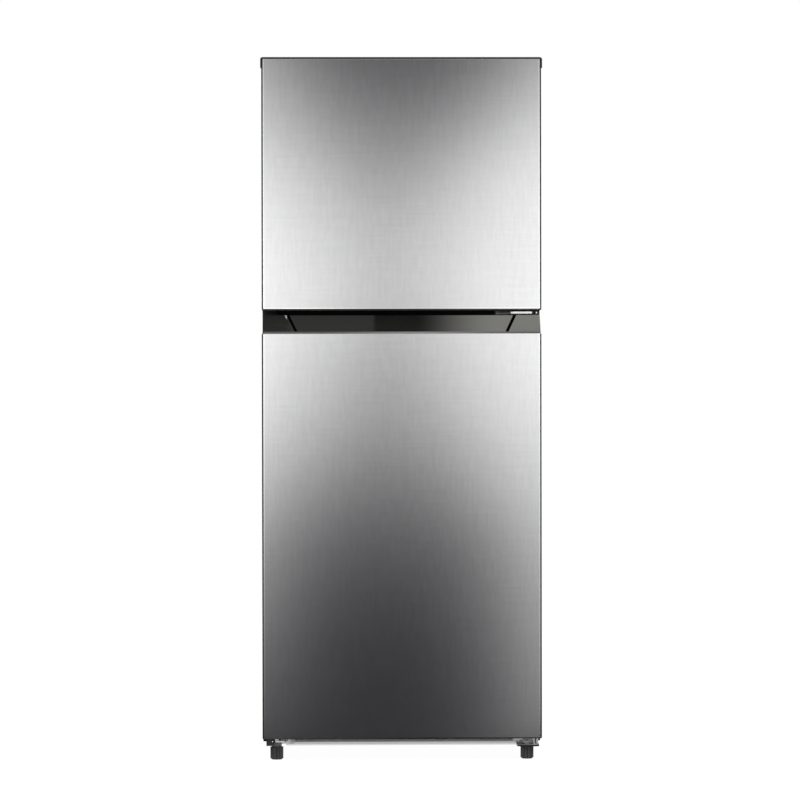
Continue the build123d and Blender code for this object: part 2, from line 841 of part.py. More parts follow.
def bent_tube(points, radius, cut):
    """A six-sided tube along a path, with each corner of the path cut across."""
    corners = [Vector(*point) for point in points]
    bends = [corners[0]]
    for before, corner, after in zip(corners, corners[1:], corners[2:]):
        bends.append(corner + (before - corner).normalized() * cut)
        bends.append(corner + (after - corner).normalized() * cut)
    bends.append(corners[-1])
    with BuildPart() as tube:
        with BuildLine() as path:
            Polyline(*bends)
        with BuildSketch(Plane(path.line @ 0, z_dir=path.line % 0)):
            RegularPolygon(radius, tube_sides)
        sweep(transition=Transition.RIGHT)
    return tube.part


suction_end = pot_x - stub_out - suction_out
discharge_end = pot_x - stub_out - discharge_out
suction_points = (
    (pot_x - stub_out, pot_y, suction_z),
    (suction_end, pot_y, suction_z),
    (suction_end, pot_y, suction_z + suction_rise),
    (suction_end, machine_front, suction_z + suction_rise),
)
discharge_points = (
    (pot_x - stub_out, discharge_y, discharge_z),
    (discharge_end, discharge_y, discharge_z),
    (discharge_end, discharge_y, machine_top),
)
capillary_points = (
    (drier_x, drier_y, drier_low),
    (drier_x, drier_y, capillary_low),
    (drier_x, machine_front, capillary_low),
)
with BuildPart() as refrigerant_tubes:
    add(bent_tube(suction_points, tube_radius, tube_bend))
    add(bent_tube(discharge_points, tube_radius, tube_bend))
    with BuildSketch(level(drier_high)):
        with Locations((drier_x, drier_y)):
            RegularPolygon(tube_radius, tube_sides)
    extrude(amount=machine_top - drier_high)
    with BuildSketch(level(drier_low)):
        with Locations((drier_x, drier_y)):
            Circle(drier_radius)
    extrude(amount=drier_high - drier_low)
    add(bent_tube(capillary_points, capillary_radius, capillary_bend))
save(refrigerant_tubes.part, "refrigerant_tubes")

# Evaporator cover: white tub against the freezer back wall, with outlet and return louvres
cover_wall = 2.5
cover_side_gap = 2.0
cover_half = half_freezer - liner_corner - cover_side_gap
cover_low = freezer_floor + liner_corner
cover_high = freezer_ceiling - liner_corner
cover_round = 8.0
louvre_length = 56.0
louvre_height = 6.0
louvre_gap_x = 72.0
louvre_gap_z = 14.0
outlet_drop = 88.0
return_rise = 45.0
slider_rise = 135.0
slider_x = 130.0
outlet_z = freezer_ceiling - outlet_drop
return_z = freezer_floor + return_rise
slider_z = freezer_floor + slider_rise
slider_slot = 64.0
slider_slot_height = 6.0
with BuildPart() as evaporator_cover:
    slab(both_ways(cover_half), (cover_front, freezer_back), (cover_low, cover_high))
    fillet(evaporator_cover.edges().filter_by(Axis.Y), cover_round)
    offset(amount=-cover_wall, openings=evaporator_cover.faces().sort_by(Axis.Y)[-1])
    with BuildSketch(front_plane(cover_front)):
        with Locations((0, outlet_z)):
            with GridLocations(louvre_gap_x, louvre_gap_z, 3, 5):
                Rectangle(louvre_length, louvre_height)
        with Locations((0, return_z)):
            with GridLocations(louvre_gap_x, louvre_gap_z, 5, 2):
                Rectangle(louvre_length, louvre_height)
        with Locations((slider_x, slider_z)):
            Rectangle(slider_slot, slider_slot_height)
    extrude(amount=-cover_wall, mode=Mode.SUBTRACT)
save(evaporator_cover.part, "evaporator_cover")

# Freezer air slider: thumb pad on a stem through the slot, with a keeper behind the cover
slider_pad_x = 16.0
slider_pad_z = 18.0
slider_pad = 6.0
slider_stem = 12.0
slider_keeper = 3.0
slider_ridge = 1.2
with BuildPart() as freezer_slider:
    pad_back = cover_front - slide_clearance
    stem_back = cover_front + cover_wall + slide_clearance
    stem_half = slider_slot_height / 2 - slide_clearance
    slab(
        (slider_x - slider_pad_x / 2, slider_x + slider_pad_x / 2),
        (pad_back - slider_pad, pad_back),
        (slider_z - slider_pad_z / 2, slider_z + slider_pad_z / 2),
    )
    fillet(freezer_slider.edges().filter_by(Axis.Y), 2 * slider_ridge)
    for place in (-1, 0, 1):
        ridge_x = slider_x + place * slider_pad_x / 4
        slab(
            (ridge_x - slider_ridge / 2, ridge_x + slider_ridge / 2),
            (pad_back - slider_pad - slider_ridge, pad_back - slider_pad),
            (slider_z - slider_pad_z / 3, slider_z + slider_pad_z / 3),
        )
    slab(
        (slider_x - slider_stem / 2, slider_x + slider_stem / 2),
        (pad_back, stem_back),
        (slider_z - stem_half, slider_z + stem_half),
    )
    slab(
        (slider_x - slider_pad_x / 2, slider_x + slider_pad_x / 2),
        (stem_back, stem_back + slider_keeper),
        (slider_z - slider_pad_z / 2, slider_z + slider_pad_z / 2),
    )
save(freezer_slider.part, "freezer_slider")

# Evaporator: finned serpentine tube between two end plates that hang on the back wall
coil_inset = 65.0
coil_half = half_freezer - coil_inset
coil_low = return_z
coil_pitch = 38.0
coil_passes = 5
coil_radius = 4.0
coil_sides = 6
coil_cut = coil_pitch / 3
coil_setback = 36.0
coil_y = freezer_back - coil_setback
fin_depth = 44.0
fin_sheet = 1.0
fin_count = 9
fin_margin = 22.0
fin_low = coil_low - fin_margin
fin_high = coil_low + (coil_passes - 1) * coil_pitch + fin_margin
fin_span = 2 * coil_half - 2 * fin_margin
coil_points = []
for turn in range(coil_passes):
    way = 1 if turn % 2 == 0 else -1
    height = coil_low + turn * coil_pitch
    if turn > 0:
        coil_points.append((-way * coil_half, coil_y, height - coil_cut))
    coil_points.append((-way * (coil_half - coil_cut), coil_y, height))
    coil_points.append((way * (coil_half - coil_cut), coil_y, height))
    if turn < coil_passes - 1:
        coil_points.append((way * coil_half, coil_y, height + coil_cut))
with BuildPart() as evaporator:
    with BuildLine() as coil_path:
        Polyline(*coil_points)
    with BuildSketch(Plane(coil_path.line @ 0, z_dir=coil_path.line % 0)):
        RegularPolygon(coil_radius, coil_sides)
    sweep(transition=Transition.RIGHT)
    for place in range(fin_count):
        fin_x = -fin_span / 2 + place * fin_span / (fin_count - 1)
        ends = place in (0, fin_count - 1)
        slab(
            (fin_x - fin_sheet / 2, fin_x + fin_sheet / 2),
            (coil_y - fin_depth / 2, freezer_back if ends else coil_y + fin_depth / 2),
            (fin_low, fin_high),
        )
save(evaporator.part, "evaporator")

# Fan motor on the back wall above the evaporator, with its shaft forward
fan_z = outlet_z
motor_radius = 30.0
motor_depth = 28.0
motor_round = 4.0
shaft_radius = 2.5
shaft_length = 30.0
motor_front = freezer_back - motor_depth
with BuildPart() as fan_motor:
    with BuildSketch(front_plane(freezer_back)):
        with Locations((0, fan_z)):
            Circle(motor_radius)
    extrude(amount=motor_depth)
    chamfer(fan_motor.faces().sort_by(Axis.Y)[0].edges(), motor_round)
    with BuildSketch(front_plane(motor_front)):
        with Locations((0, fan_z)):
            Circle(shaft_radius)
    extrude(amount=shaft_length)
save(fan_motor.part, "fan_motor")

# Evaporator fan: hub bored for the shaft, with pitched blades
hub_radius = 13.0
hub_gap = 4.0
hub_back = motor_front - hub_gap
hub_length = 20.0
blade_count = 5
blade_tip = 54.0
blade_sheet = 1.8
blade_root_chord = 20.0
blade_tip_chord = 34.0
blade_pitch = 34.0
hub_middle = hub_back - hub_length / 2
with BuildPart() as blade:
    with BuildSketch(Plane((hub_radius - blade_sheet, hub_middle, fan_z), x_dir=(0, 0, 1), z_dir=(1, 0, 0))):
        Rectangle(blade_root_chord, blade_sheet, rotation=blade_pitch)
    with BuildSketch(Plane((blade_tip, hub_middle, fan_z), x_dir=(0, 0, 1), z_dir=(1, 0, 0))):
        Rectangle(blade_tip_chord, blade_sheet, rotation=blade_pitch)
    loft()
with BuildPart() as evaporator_fan:
    with BuildSketch(front_plane(hub_back)):
        with Locations((0, fan_z)):
            Circle(hub_radius)
    extrude(amount=hub_length)
    for turn in range(blade_count):
        add(blade.part.rotate(Axis((0, 0, fan_z), (0, 1, 0)), turn * 360 / blade_count))
    with BuildSketch(front_plane(hub_back)):
        with Locations((0, fan_z)):
            Circle(shaft_radius + running_fit)
    extrude(amount=hub_length, mode=Mode.SUBTRACT)
save(evaporator_fan.part, "evaporator_fan")

# Wire freezer shelf
shelf_side_gap = 5.0
cross_radius = 2.5
wire_radius = 1.6
wire_pitch = 28.0
weld_depth = 1.0
wire_margin = 8.0
cross_inset = 8.0
wire_sides = 6
wire_shelf_half = half_freezer - shelf_side_gap
wire_count = int(2 * (wire_shelf_half - wire_margin) / wire_pitch) + 1
wire_shelf_back = cover_front - 2 * cross_radius
cross_z = freezer_shelf_level + cross_radius
wire_z = cross_z + cross_radius + wire_radius - weld_depth
wire_rows = (shelf_front + cross_inset, (shelf_front + wire_shelf_back) / 2, wire_shelf_back - cross_inset)
with BuildPart() as freezer_shelf:
    with BuildSketch(side_plane(-wire_shelf_half)):
        for row in wire_rows:
            with Locations((row, cross_z)):
                RegularPolygon(cross_radius, wire_sides, major_radius=False)
    extrude(amount=2 * wire_shelf_half)
    with BuildSketch(front_plane(shelf_front)):
        with Locations((0, wire_z)):
            with GridLocations(wire_pitch, wire_pitch, wire_count, 1):
                RegularPolygon(wire_radius, wire_sides, major_radius=False)
    extrude(amount=-(wire_shelf_back - shelf_front))
save(freezer_shelf.part, "freezer_shelf")

# Air duct on the back wall of the fresh food compartment, with vents at each shelf
duct_half = 58.0
duct_depth = 20.0
duct_wall = 2.0
duct_rise = 34.0
duct_drop = 60.0
duct_low = step_top + duct_rise
duct_high = fridge_ceiling - duct_drop
duct_round = 6.0
vent_length = 60.0
vent_height = 8.0
vent_levels = [shelf + shelf_pitch / 2 for shelf in (crisper_cover_low, lower_shelf, upper_shelf)]
duct_front = fridge_back - duct_depth
with BuildPart() as air_duct:
    slab(both_ways(duct_half), (duct_front, fridge_back), (duct_low, duct_high))
    fillet(air_duct.edges().filter_by(Axis.Y), duct_round)
    offset(amount=-duct_wall, openings=air_duct.faces().sort_by(Axis.Y)[-1])
    with BuildSketch(front_plane(duct_front)):
        for height in vent_levels:
            with Locations((0, height)):
                with GridLocations(vent_length, 2 * vent_height, 1, 2):
                    Rectangle(vent_length, vent_height)
    extrude(amount=-duct_wall, mode=Mode.SUBTRACT)
save(air_duct.part, "air_duct")

# Control box under the fridge ceiling, with a stub for the knob and a seat for the lamp lens
control_half = 105.0
control_setback = 190.0
control_front = cabinet_front + control_setback
control_depth = 130.0
control_height = 44.0
control_round = 6.0
control_low = fridge_ceiling - control_height
knob_x = 66.0
knob_z = control_low + control_height / 2
stub_length = 10.0
knob_shaft = 3.0
lens_half = 48.0
lens_setback = 30.0
lens_length = 60.0
lens_front = control_front + lens_setback
lens_back = lens_front + lens_length
lens_seat = 3.0
lens_proud = 6.0
with BuildPart() as control_box:
    slab(
        both_ways(control_half), (control_front, control_front + control_depth), (control_low, fridge_ceiling)
    )
    fillet(control_box.edges().filter_by(Axis.Z), control_round)
    chamfer(control_box.faces().sort_by(Axis.Z)[0].edges(), control_round / 2)
    slab(both_ways(lens_half), (lens_front, lens_back), (control_low, control_low + lens_seat), Mode.SUBTRACT)
    with BuildSketch(front_plane(control_front)):
        with Locations((knob_x, knob_z)):
            Circle(knob_shaft)
    extrude(amount=stub_length)
save(control_box.part, "control_box")

# Lamp lens
with BuildPart() as lamp_lens:
    slab(both_ways(lens_half), (lens_front, lens_back), (control_low - lens_proud, control_low + lens_seat))
    fillet(lamp_lens.faces().sort_by(Axis.Z)[0].edges(), lens_seat)
save(lamp_lens.part, "lamp_lens")

# Temperature knob: fluted rim and a grip bar that points at the setting
knob_radius = 16.0
knob_base = 8.0
knob_grip = 8.0
knob_bar = 7.0
knob_flutes = 12
knob_flute = 1.4
knob_back = control_front - slide_clearance
with BuildPart() as temperature_knob:
    with BuildSketch(front_plane(knob_back)):
        with Locations((knob_x, knob_z)):
            Circle(knob_radius)
            with PolarLocations(knob_radius, knob_flutes):
                RegularPolygon(knob_flute, 4, mode=Mode.SUBTRACT)
    extrude(amount=knob_base)
    with BuildSketch(front_plane(knob_back - knob_base)):
        with Locations((knob_x, knob_z)):
            SlotOverall(2 * knob_radius - knob_bar / 2, knob_bar, rotation=90)
    extrude(amount=knob_grip)
    with BuildSketch(front_plane(knob_back)):
        with Locations((knob_x, knob_z)):
            Circle(knob_shaft + running_fit)
    extrude(amount=stub_length, mode=Mode.SUBTRACT)
save(temperature_knob.part, "temperature_knob")

# Glass shelves on the liner ledges, with a front rail and a rear upstand on each
glass_sheet = 4.0
glass_side_gap = 3.0
trim_overlap = 12.0
trim_front = 8.0
trim_cap = 4.0
trim_drop = 7.0
upstand_sheet = 5.0
upstand_height = 22.0
glass_half = half_fridge - glass_side_gap
trim_half = half_fridge - ledge_width - glass_side_gap
glass_gap = 14.0
glass_back = duct_front - glass_gap


def glass_shelf(height):
    """One pane of toughened glass."""
    with BuildPart() as pane:
        slab(both_ways(glass_half), (shelf_front, glass_back), (height, height + glass_sheet))
    return pane.part


save(glass_shelf(upper_shelf), "fridge_shelf_upper")
save(glass_shelf(lower_shelf), "fridge_shelf_lower")
save(glass_shelf(crisper_cover_low), "crisper_cover")

with BuildPart() as shelf_trims:
    for height in (upper_shelf, lower_shelf, crisper_cover_low):
        glass_top = height + glass_sheet
        slab(
            both_ways(glass_half),
            (shelf_front - trim_front, shelf_front + trim_overlap),
            (glass_top, glass_top + trim_cap),
        )
        slab(both_ways(trim_half), (shelf_front - trim_front, shelf_front), (height - trim_drop, glass_top))
        slab(
            both_ways(glass_half), (glass_back, glass_back + upstand_sheet), (height, height + upstand_height)
        )
save(shelf_trims.part, "shelf_trims")

# Crisper drawer: clear open box with a pull lip, running on the liner floor
crisper_half = half_fridge - liner_corner
crisper_front = shelf_front
crisper_gap = 8.0
crisper_headroom = 4.0
crisper_back = step_front - crisper_gap
crisper_high = crisper_cover_low - trim_drop - crisper_headroom
crisper_wall = 2.5
crisper_round = 14.0
crisper_bottom_bevel = 8.0
pull_depth = 11.0
pull_height = 9.0
pull_half = crisper_half / 2
with BuildPart() as crisper_drawer:
    slab(both_ways(crisper_half), (crisper_front, crisper_back), (fridge_floor, crisper_high))
    fillet(crisper_drawer.edges().filter_by(Axis.Z), crisper_round)
    chamfer(crisper_drawer.faces().sort_by(Axis.Z)[0].edges(), crisper_bottom_bevel)
    offset(amount=-crisper_wall, openings=crisper_drawer.faces().sort_by(Axis.Z)[-1])
    slab(
        both_ways(pull_half),
        (crisper_front - pull_depth, crisper_front),
        (crisper_high - crisper_wall, crisper_high),
    )
    slab(
        both_ways(pull_half),
        (crisper_front - pull_depth, crisper_front - pull_depth + crisper_wall),
        (crisper_high - pull_height, crisper_high - crisper_wall),
    )
save(crisper_drawer.part, "crisper_drawer")


def door_block(half, y_span, z_span):
    """A block across the door with its two front upright edges rounded to sit inside the skin."""
    with BuildPart() as block:
        slab(both_ways(half), y_span, z_span)
        fillet(block.edges().filter_by(Axis.Z).group_by(Axis.Y)[0], door_corner)
    return block.part


def door_panel(low, high):
    """Steel look skin: one front with rounded edges and two side returns."""
    with BuildPart() as panel:
        add(door_block(half_door, (door_front, door_back), (low, high)))
        with BuildSketch(level(low)) as inside:
            with Locations((0, (core_front + door_back) / 2)):
                Rectangle(2 * half_core, door_back - core_front)
            fillet(inside.vertices().group_by(Axis.Y)[0], door_corner - skin)
        extrude(amount=high - low, mode=Mode.SUBTRACT)
    return panel.part


def door_core(low, high, ring):
    """Foam core of a door, with the foam that fills the dyke of the inner liner."""
    half, ring_low, ring_high = ring
    inner_half = half - dyke_width + liner_wall
    inner_height = ring_high - ring_low - 2 * dyke_width + 2 * liner_wall
    with BuildPart() as core:
        add(door_block(half_core, (core_front, door_back - liner_wall), (low, high)))
        with BuildSketch(front_plane(door_back - liner_wall)):
            with Locations((0, (ring_low + ring_high) / 2)):
                Rectangle(2 * half - 2 * liner_wall, ring_high - ring_low - 2 * liner_wall)
                Rectangle(2 * inner_half, inner_height, mode=Mode.SUBTRACT)
        extrude(amount=-dyke_depth, taper=dyke_draft)
    return core.part


bin_ledge = 8.0
bin_ledge_depth = 12.0
bin_ledge_height = 6.0


def door_liner(low, high, ring, core, bin_levels):
    """Formed inner liner: flat rim, raised dyke and a pair of ledges under each bin."""
    half, ring_low, ring_high = ring
    inner_half = half - dyke_width
    with BuildPart() as liner:
        slab(both_ways(half_core), (door_back - liner_wall, door_back), (low, high))
        with BuildSketch(front_plane(door_back)):
            with Locations((0, (ring_low + ring_high) / 2)):
                Rectangle(2 * half, ring_high - ring_low)
                Rectangle(2 * inner_half, ring_high - ring_low - 2 * dyke_width, mode=Mode.SUBTRACT)
        extrude(amount=-dyke_depth, taper=dyke_draft)
        add(core, mode=Mode.SUBTRACT)
        for height in bin_levels:
            for side in (-1, 1):
                edges = sorted((side * (inner_half - bin_ledge), side * (inner_half + liner_wall / 2)))
                slab(edges, (door_back, door_back + bin_ledge_depth), (height - bin_ledge_height, height))
    return liner.part


def door_gasket(low, high):
    """Magnetic gasket: a foot on the door, a waist that folds, and a head that seats on the cabinet."""
    outer = half_door - gasket_inset
    head_back = door_back + gasket_gap - seal_clearance
    waist = (gasket_width - gasket_neck) / 2
    layers = (
        (0.0, door_back, door_back + gasket_foot),
        (waist, door_back + gasket_foot, head_back - gasket_head),
        (0.0, head_back - gasket_head, head_back),
    )
    with BuildPart() as gasket:
        for inset, near, far in layers:
            inner = gasket_width - inset
            with BuildSketch(front_plane(near)):
                with Locations((0, (low + high) / 2)):
                    Rectangle(2 * (outer - inset), high - low - 2 * inset)
                    Rectangle(2 * (outer - inner), high - low - 2 * inner, mode=Mode.SUBTRACT)
            extrude(amount=-(far - near))
    return gasket.part


bin_wall = 2.5
bin_lean = 8.0
bin_round = 10.0


def bin_block(low, high, half, depth, inset):
    """The outside of a bin, or its inside when inset by the wall."""
    near = door_back + inset
    far = door_back + depth - inset
    with BuildPart() as block:
        with BuildSketch(Plane.YZ):
            with BuildLine():
                Polyline((near, low), (far - bin_lean, low), (far, high), (near, high), close=True)
            make_face()
        extrude(amount=half - inset, both=True)
        side_edges = block.faces().filter_by(Axis.X).edges()
        leaning = side_edges.filter_by(Axis.Y, reverse=True).filter_by(Axis.Z, reverse=True)
        fillet(leaning, bin_round - inset)
    return block.part


def door_bin(low, height, half, depth):
    """Clear open bin that sits on its two ledges against the door liner."""
    with BuildPart() as tray:
        add(bin_block(low, low + height, half, depth, 0.0))
        add(bin_block(low + bin_wall, low + height, half, depth, bin_wall), mode=Mode.SUBTRACT)
    return tray.part


def hinge_bushes(spans):
    """Plastic bushes in the door caps, bored to run on the hinge pins."""
    with BuildPart() as bushes:
        for low, high in spans:
            with BuildSketch(level(low)):
                with Locations((hinge_x, hinge_y)):
                    Circle(bush_radius)
                    Circle(pin_radius + running_fit, mode=Mode.SUBTRACT)
            extrude(amount=high - low)
    return bushes.part


def bush_seat(low, high):
    """The round seat of one bush."""
    with BuildPart() as seat:
        with BuildSketch(level(low)):
            with Locations((hinge_x, hinge_y)):
                Circle(bush_radius + running_fit)
        extrude(amount=high - low)
    return seat.part


# Freezer door
skin_top = freezer_door_high - lip_line
ear_top = freezer_door_high - ear_drop
lip_back = core_front + lip_thickness
freezer_core_low = freezer_door_low + cap_depth
freezer_core_high = cap_floor - cap_depth
freezer_ring = (
    half_freezer - dyke_clearance, freezer_floor + dyke_clearance, freezer_ceiling - dyke_clearance
)
freezer_bin_half = freezer_ring[0] - dyke_width - slide_clearance
freezer_bin_depth = 78.0
freezer_bin_height = 72.0
freezer_bin_rise = 80.0
freezer_bin_pitch = 190.0
freezer_bin_low = freezer_door_low + freezer_bin_rise
freezer_bin_levels = (freezer_bin_low, freezer_bin_low + freezer_bin_pitch)
grip_inset = 82.5
grip_setback = 9.0
grip_depth = 27.0
grip_half = half_door - grip_inset
grip_front = door_front + grip_setback
grip_back = grip_front + grip_depth
grip_rise = 16.0
freezer_bush_low = (freezer_door_low, freezer_door_low + bush_length)
freezer_bush_high = (cap_floor - bush_length, cap_floor)

with BuildPart() as freezer_door_panel:
    add(door_panel(freezer_door_low, skin_top))
    slab(both_ways(half_door), (lip_back, door_back), (cap_floor, skin_top), Mode.SUBTRACT)
save(freezer_door_panel.part, "freezer_door_panel")
freezer_core = door_core(freezer_core_low, freezer_core_high, freezer_ring)
save(freezer_core, "freezer_door_foam")
save(
    door_liner(freezer_core_low, freezer_core_high, freezer_ring, freezer_core, freezer_bin_levels),
    "freezer_door_liner",
)
save(door_gasket(freezer_door_low + mullion_seat, cabinet_top - top_seat), "freezer_door_gasket")
save(
    door_bin(freezer_bin_levels[0], freezer_bin_height, freezer_bin_half, freezer_bin_depth),
    "freezer_bin_lower",
)
save(
    door_bin(freezer_bin_levels[1], freezer_bin_height, freezer_bin_half, freezer_bin_depth),
    "freezer_bin_upper",
)
save(hinge_bushes((freezer_bush_low, freezer_bush_high)), "freezer_door_bushes")

# Top cap: recessed for the hinge arm behind a front lip, with a small ear at each corner
with BuildPart() as freezer_door_top_cap:
    add(door_block(half_core, (core_front, door_back), (freezer_core_high, cap_floor)))
    add(door_block(half_core, (core_front, lip_back), (cap_floor, skin_top)))
    add(door_block(half_door, (door_front, lip_back), (skin_top, freezer_door_high)))
    for side in (-1, 1):
        slab(
            sorted((side * half_door, side * (half_door + ear_proud))),
            (door_front + ear_proud, door_front + ear_depth),
            (ear_top - ear_height, ear_top),
        )
    add(bush_seat(*freezer_bush_high), mode=Mode.SUBTRACT)
save(freezer_door_top_cap.part, "freezer_door_top_cap")

# Bottom cap with a finger grip behind the lower edge of the skin
with BuildPart() as freezer_door_bottom_cap:
    add(door_block(half_core, (core_front, door_back), (freezer_door_low, freezer_core_low)))
    slab(
        both_ways(grip_half),
        (grip_front, grip_back),
        (freezer_door_low, freezer_door_low + grip_rise),
        Mode.SUBTRACT,
    )
    add(bush_seat(*freezer_bush_low), mode=Mode.SUBTRACT)
save(freezer_door_bottom_cap.part, "freezer_door_bottom_cap")

# Fridge door
fridge_core_low = fridge_door_low + cap_depth
fridge_core_high = steel_top - handle_tuck
fridge_ring_high = fridge_core_high - dyke_clearance / 2
fridge_ring = (half_fridge - dyke_clearance, fridge_floor + dyke_clearance, fridge_ring_high)
fridge_bin_half = fridge_ring[0] - dyke_width - slide_clearance
fridge_bin_depth = 98.0
fridge_bin_rise = 88.0
fridge_bin_pitch = 252.0
bottle_bin_height = 110.0
fridge_bin_height = 80.0
fridge_bin_low = fridge_door_low + fridge_bin_rise
fridge_bin_levels = [fridge_bin_low + row * fridge_bin_pitch for row in range(3)]
fridge_bin_heights = (bottle_bin_height, fridge_bin_height, fridge_bin_height)
fridge_bush_low = (fridge_door_low, fridge_door_low + bush_length)
fridge_bush_high = (fridge_door_high - bush_length, fridge_door_high)

save(door_panel(fridge_door_low, steel_top), "fridge_door_panel")
fridge_core = door_core(fridge_core_low, fridge_core_high, fridge_ring)
save(fridge_core, "fridge_door_foam")
save(
    door_liner(fridge_core_low, fridge_core_high, fridge_ring, fridge_core, fridge_bin_levels),
    "fridge_door_liner",
)
save(door_gasket(fridge_door_low + base_seat, fridge_door_high - mullion_seat), "fridge_door_gasket")
fridge_bins = zip(("lower", "middle", "upper"), fridge_bin_levels, fridge_bin_heights)
for bin_name, bin_level, bin_height in fridge_bins:
    save(door_bin(bin_level, bin_height, fridge_bin_half, fridge_bin_depth), f"fridge_bin_{bin_name}")
save(hinge_bushes((fridge_bush_low, fridge_bush_high)), "fridge_door_bushes")

# Handle cap: sloped black band with a finger pocket scooped out of its middle, deeper behind a front lip
band_lip = 4.0
pocket_rim = steel_top + band_lip
pocket_low_inset = 70.0
pocket_high_inset = 45.5
pocket_low_half = half_door - pocket_low_inset
pocket_high_half = half_door - pocket_high_inset
pocket_flare = 12.0
pocket_depth = 50.0
pocket_sink = 8.0
pocket_back = door_front + pocket_depth
pocket_floor = steel_top - pocket_sink
pocket_lip = 6.0
pocket_lean = handle_slope * (handle_height + pocket_sink) / (handle_height - band_lip)
band_round = 4.0
past = 1.0
with BuildPart() as fridge_door_handle_cap:
    with BuildSketch(Plane.YZ):
        with BuildLine():
            Polyline(
                (door_front, steel_top),
                (door_front, pocket_rim),
                (door_front + handle_slope, fridge_door_high),
                (door_back, fridge_door_high),
                (door_back, steel_top),
                close=True,
            )
        make_face()
    extrude(amount=handle_width / 2, both=True)
    band_edges = fridge_door_handle_cap.faces().filter_by(Axis.X).edges()
    fillet(band_edges.group_by(Axis.Y)[0] + band_edges.group_by(Axis.Y)[1], band_round)
    add(door_block(half_core, (core_front, door_back), (fridge_core_high, steel_top)))
    with BuildSketch(front_plane(door_front - past)):
        with BuildLine():
            Polyline(
                (-pocket_low_half, pocket_rim),
                (pocket_low_half, pocket_rim),
                (pocket_high_half, fridge_door_high + past),
                (-pocket_high_half, fridge_door_high + past),
                close=True,
            )
        make_face()
    with BuildSketch(front_plane(pocket_back)):
        with BuildLine():
            Polyline(
                (-pocket_low_half + pocket_flare, pocket_rim),
                (pocket_low_half - pocket_flare, pocket_rim),
                (pocket_high_half - pocket_flare, fridge_door_high + past),
                (-pocket_high_half + pocket_flare, fridge_door_high + past),
                close=True,
            )
        make_face()
    loft(mode=Mode.SUBTRACT)
    slab(
        both_ways(pocket_low_half - pocket_flare),
        (door_front + pocket_lip, pocket_back),
        (pocket_floor, pocket_rim),
        Mode.SUBTRACT,
    )
    with BuildSketch(Plane.YZ):
        with BuildLine():
            Polyline(
                (pocket_back, pocket_floor),
                (pocket_back - pocket_lean, pocket_floor),
                (pocket_back, fridge_door_high),
                close=True,
            )
        make_face()
    extrude(amount=pocket_high_half, both=True)
    add(bush_seat(*fridge_bush_high), mode=Mode.SUBTRACT)
save(fridge_door_handle_cap.part, "fridge_door_handle_cap")

# Bottom cap, with the plug that fills the unused hinge seat on the left
plug_width = 12.0
plug_offset = 5.0
plug_inner = hinge_x - plug_offset
plug_outer = plug_inner + plug_width
plug_half_depth = 6.0
plug_drop = 18.0
with BuildPart() as fridge_door_bottom_cap:
    add(door_block(half_core, (core_front, door_back), (fridge_door_low, fridge_core_low)))
    slab(
        (-plug_outer, -plug_inner),
        (hinge_y - plug_half_depth, hinge_y + plug_half_depth),
        (fridge_door_low - plug_drop, fridge_door_low),
    )
    add(bush_seat(*fridge_bush_low), mode=Mode.SUBTRACT)
save(fridge_door_bottom_cap.part, "fridge_door_bottom_cap")
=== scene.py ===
"""Top freezer refrigerator: finishes, small fittings, studio and camera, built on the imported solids."""
import json
import math

import bpy
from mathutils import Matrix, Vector


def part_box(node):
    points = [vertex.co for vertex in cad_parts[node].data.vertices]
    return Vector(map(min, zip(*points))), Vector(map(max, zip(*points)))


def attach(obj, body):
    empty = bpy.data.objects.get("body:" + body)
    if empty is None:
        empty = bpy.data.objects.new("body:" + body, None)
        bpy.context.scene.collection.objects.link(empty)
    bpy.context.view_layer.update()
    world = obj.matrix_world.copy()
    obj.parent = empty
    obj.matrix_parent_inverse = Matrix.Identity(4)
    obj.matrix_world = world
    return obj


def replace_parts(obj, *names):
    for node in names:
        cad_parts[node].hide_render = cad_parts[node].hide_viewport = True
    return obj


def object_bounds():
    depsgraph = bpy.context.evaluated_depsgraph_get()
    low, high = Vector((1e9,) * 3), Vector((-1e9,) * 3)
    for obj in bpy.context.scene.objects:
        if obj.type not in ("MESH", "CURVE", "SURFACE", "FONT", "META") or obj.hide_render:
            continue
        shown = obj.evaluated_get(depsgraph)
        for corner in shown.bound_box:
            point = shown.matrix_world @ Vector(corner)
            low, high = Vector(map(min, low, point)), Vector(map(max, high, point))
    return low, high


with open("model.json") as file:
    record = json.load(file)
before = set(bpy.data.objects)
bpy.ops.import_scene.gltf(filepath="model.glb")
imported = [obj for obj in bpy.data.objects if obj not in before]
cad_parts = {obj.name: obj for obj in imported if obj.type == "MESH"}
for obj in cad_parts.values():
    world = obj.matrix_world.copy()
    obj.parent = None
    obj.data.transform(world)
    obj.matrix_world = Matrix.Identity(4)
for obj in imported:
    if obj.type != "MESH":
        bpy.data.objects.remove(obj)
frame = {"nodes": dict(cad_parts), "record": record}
cad_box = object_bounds()
nodes = frame["nodes"]
MM = 0.001
FRONT = cad_box[0][1]
BAND_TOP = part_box("fridge_door_handle_cap")[1][2]


# Shader and geometry trees

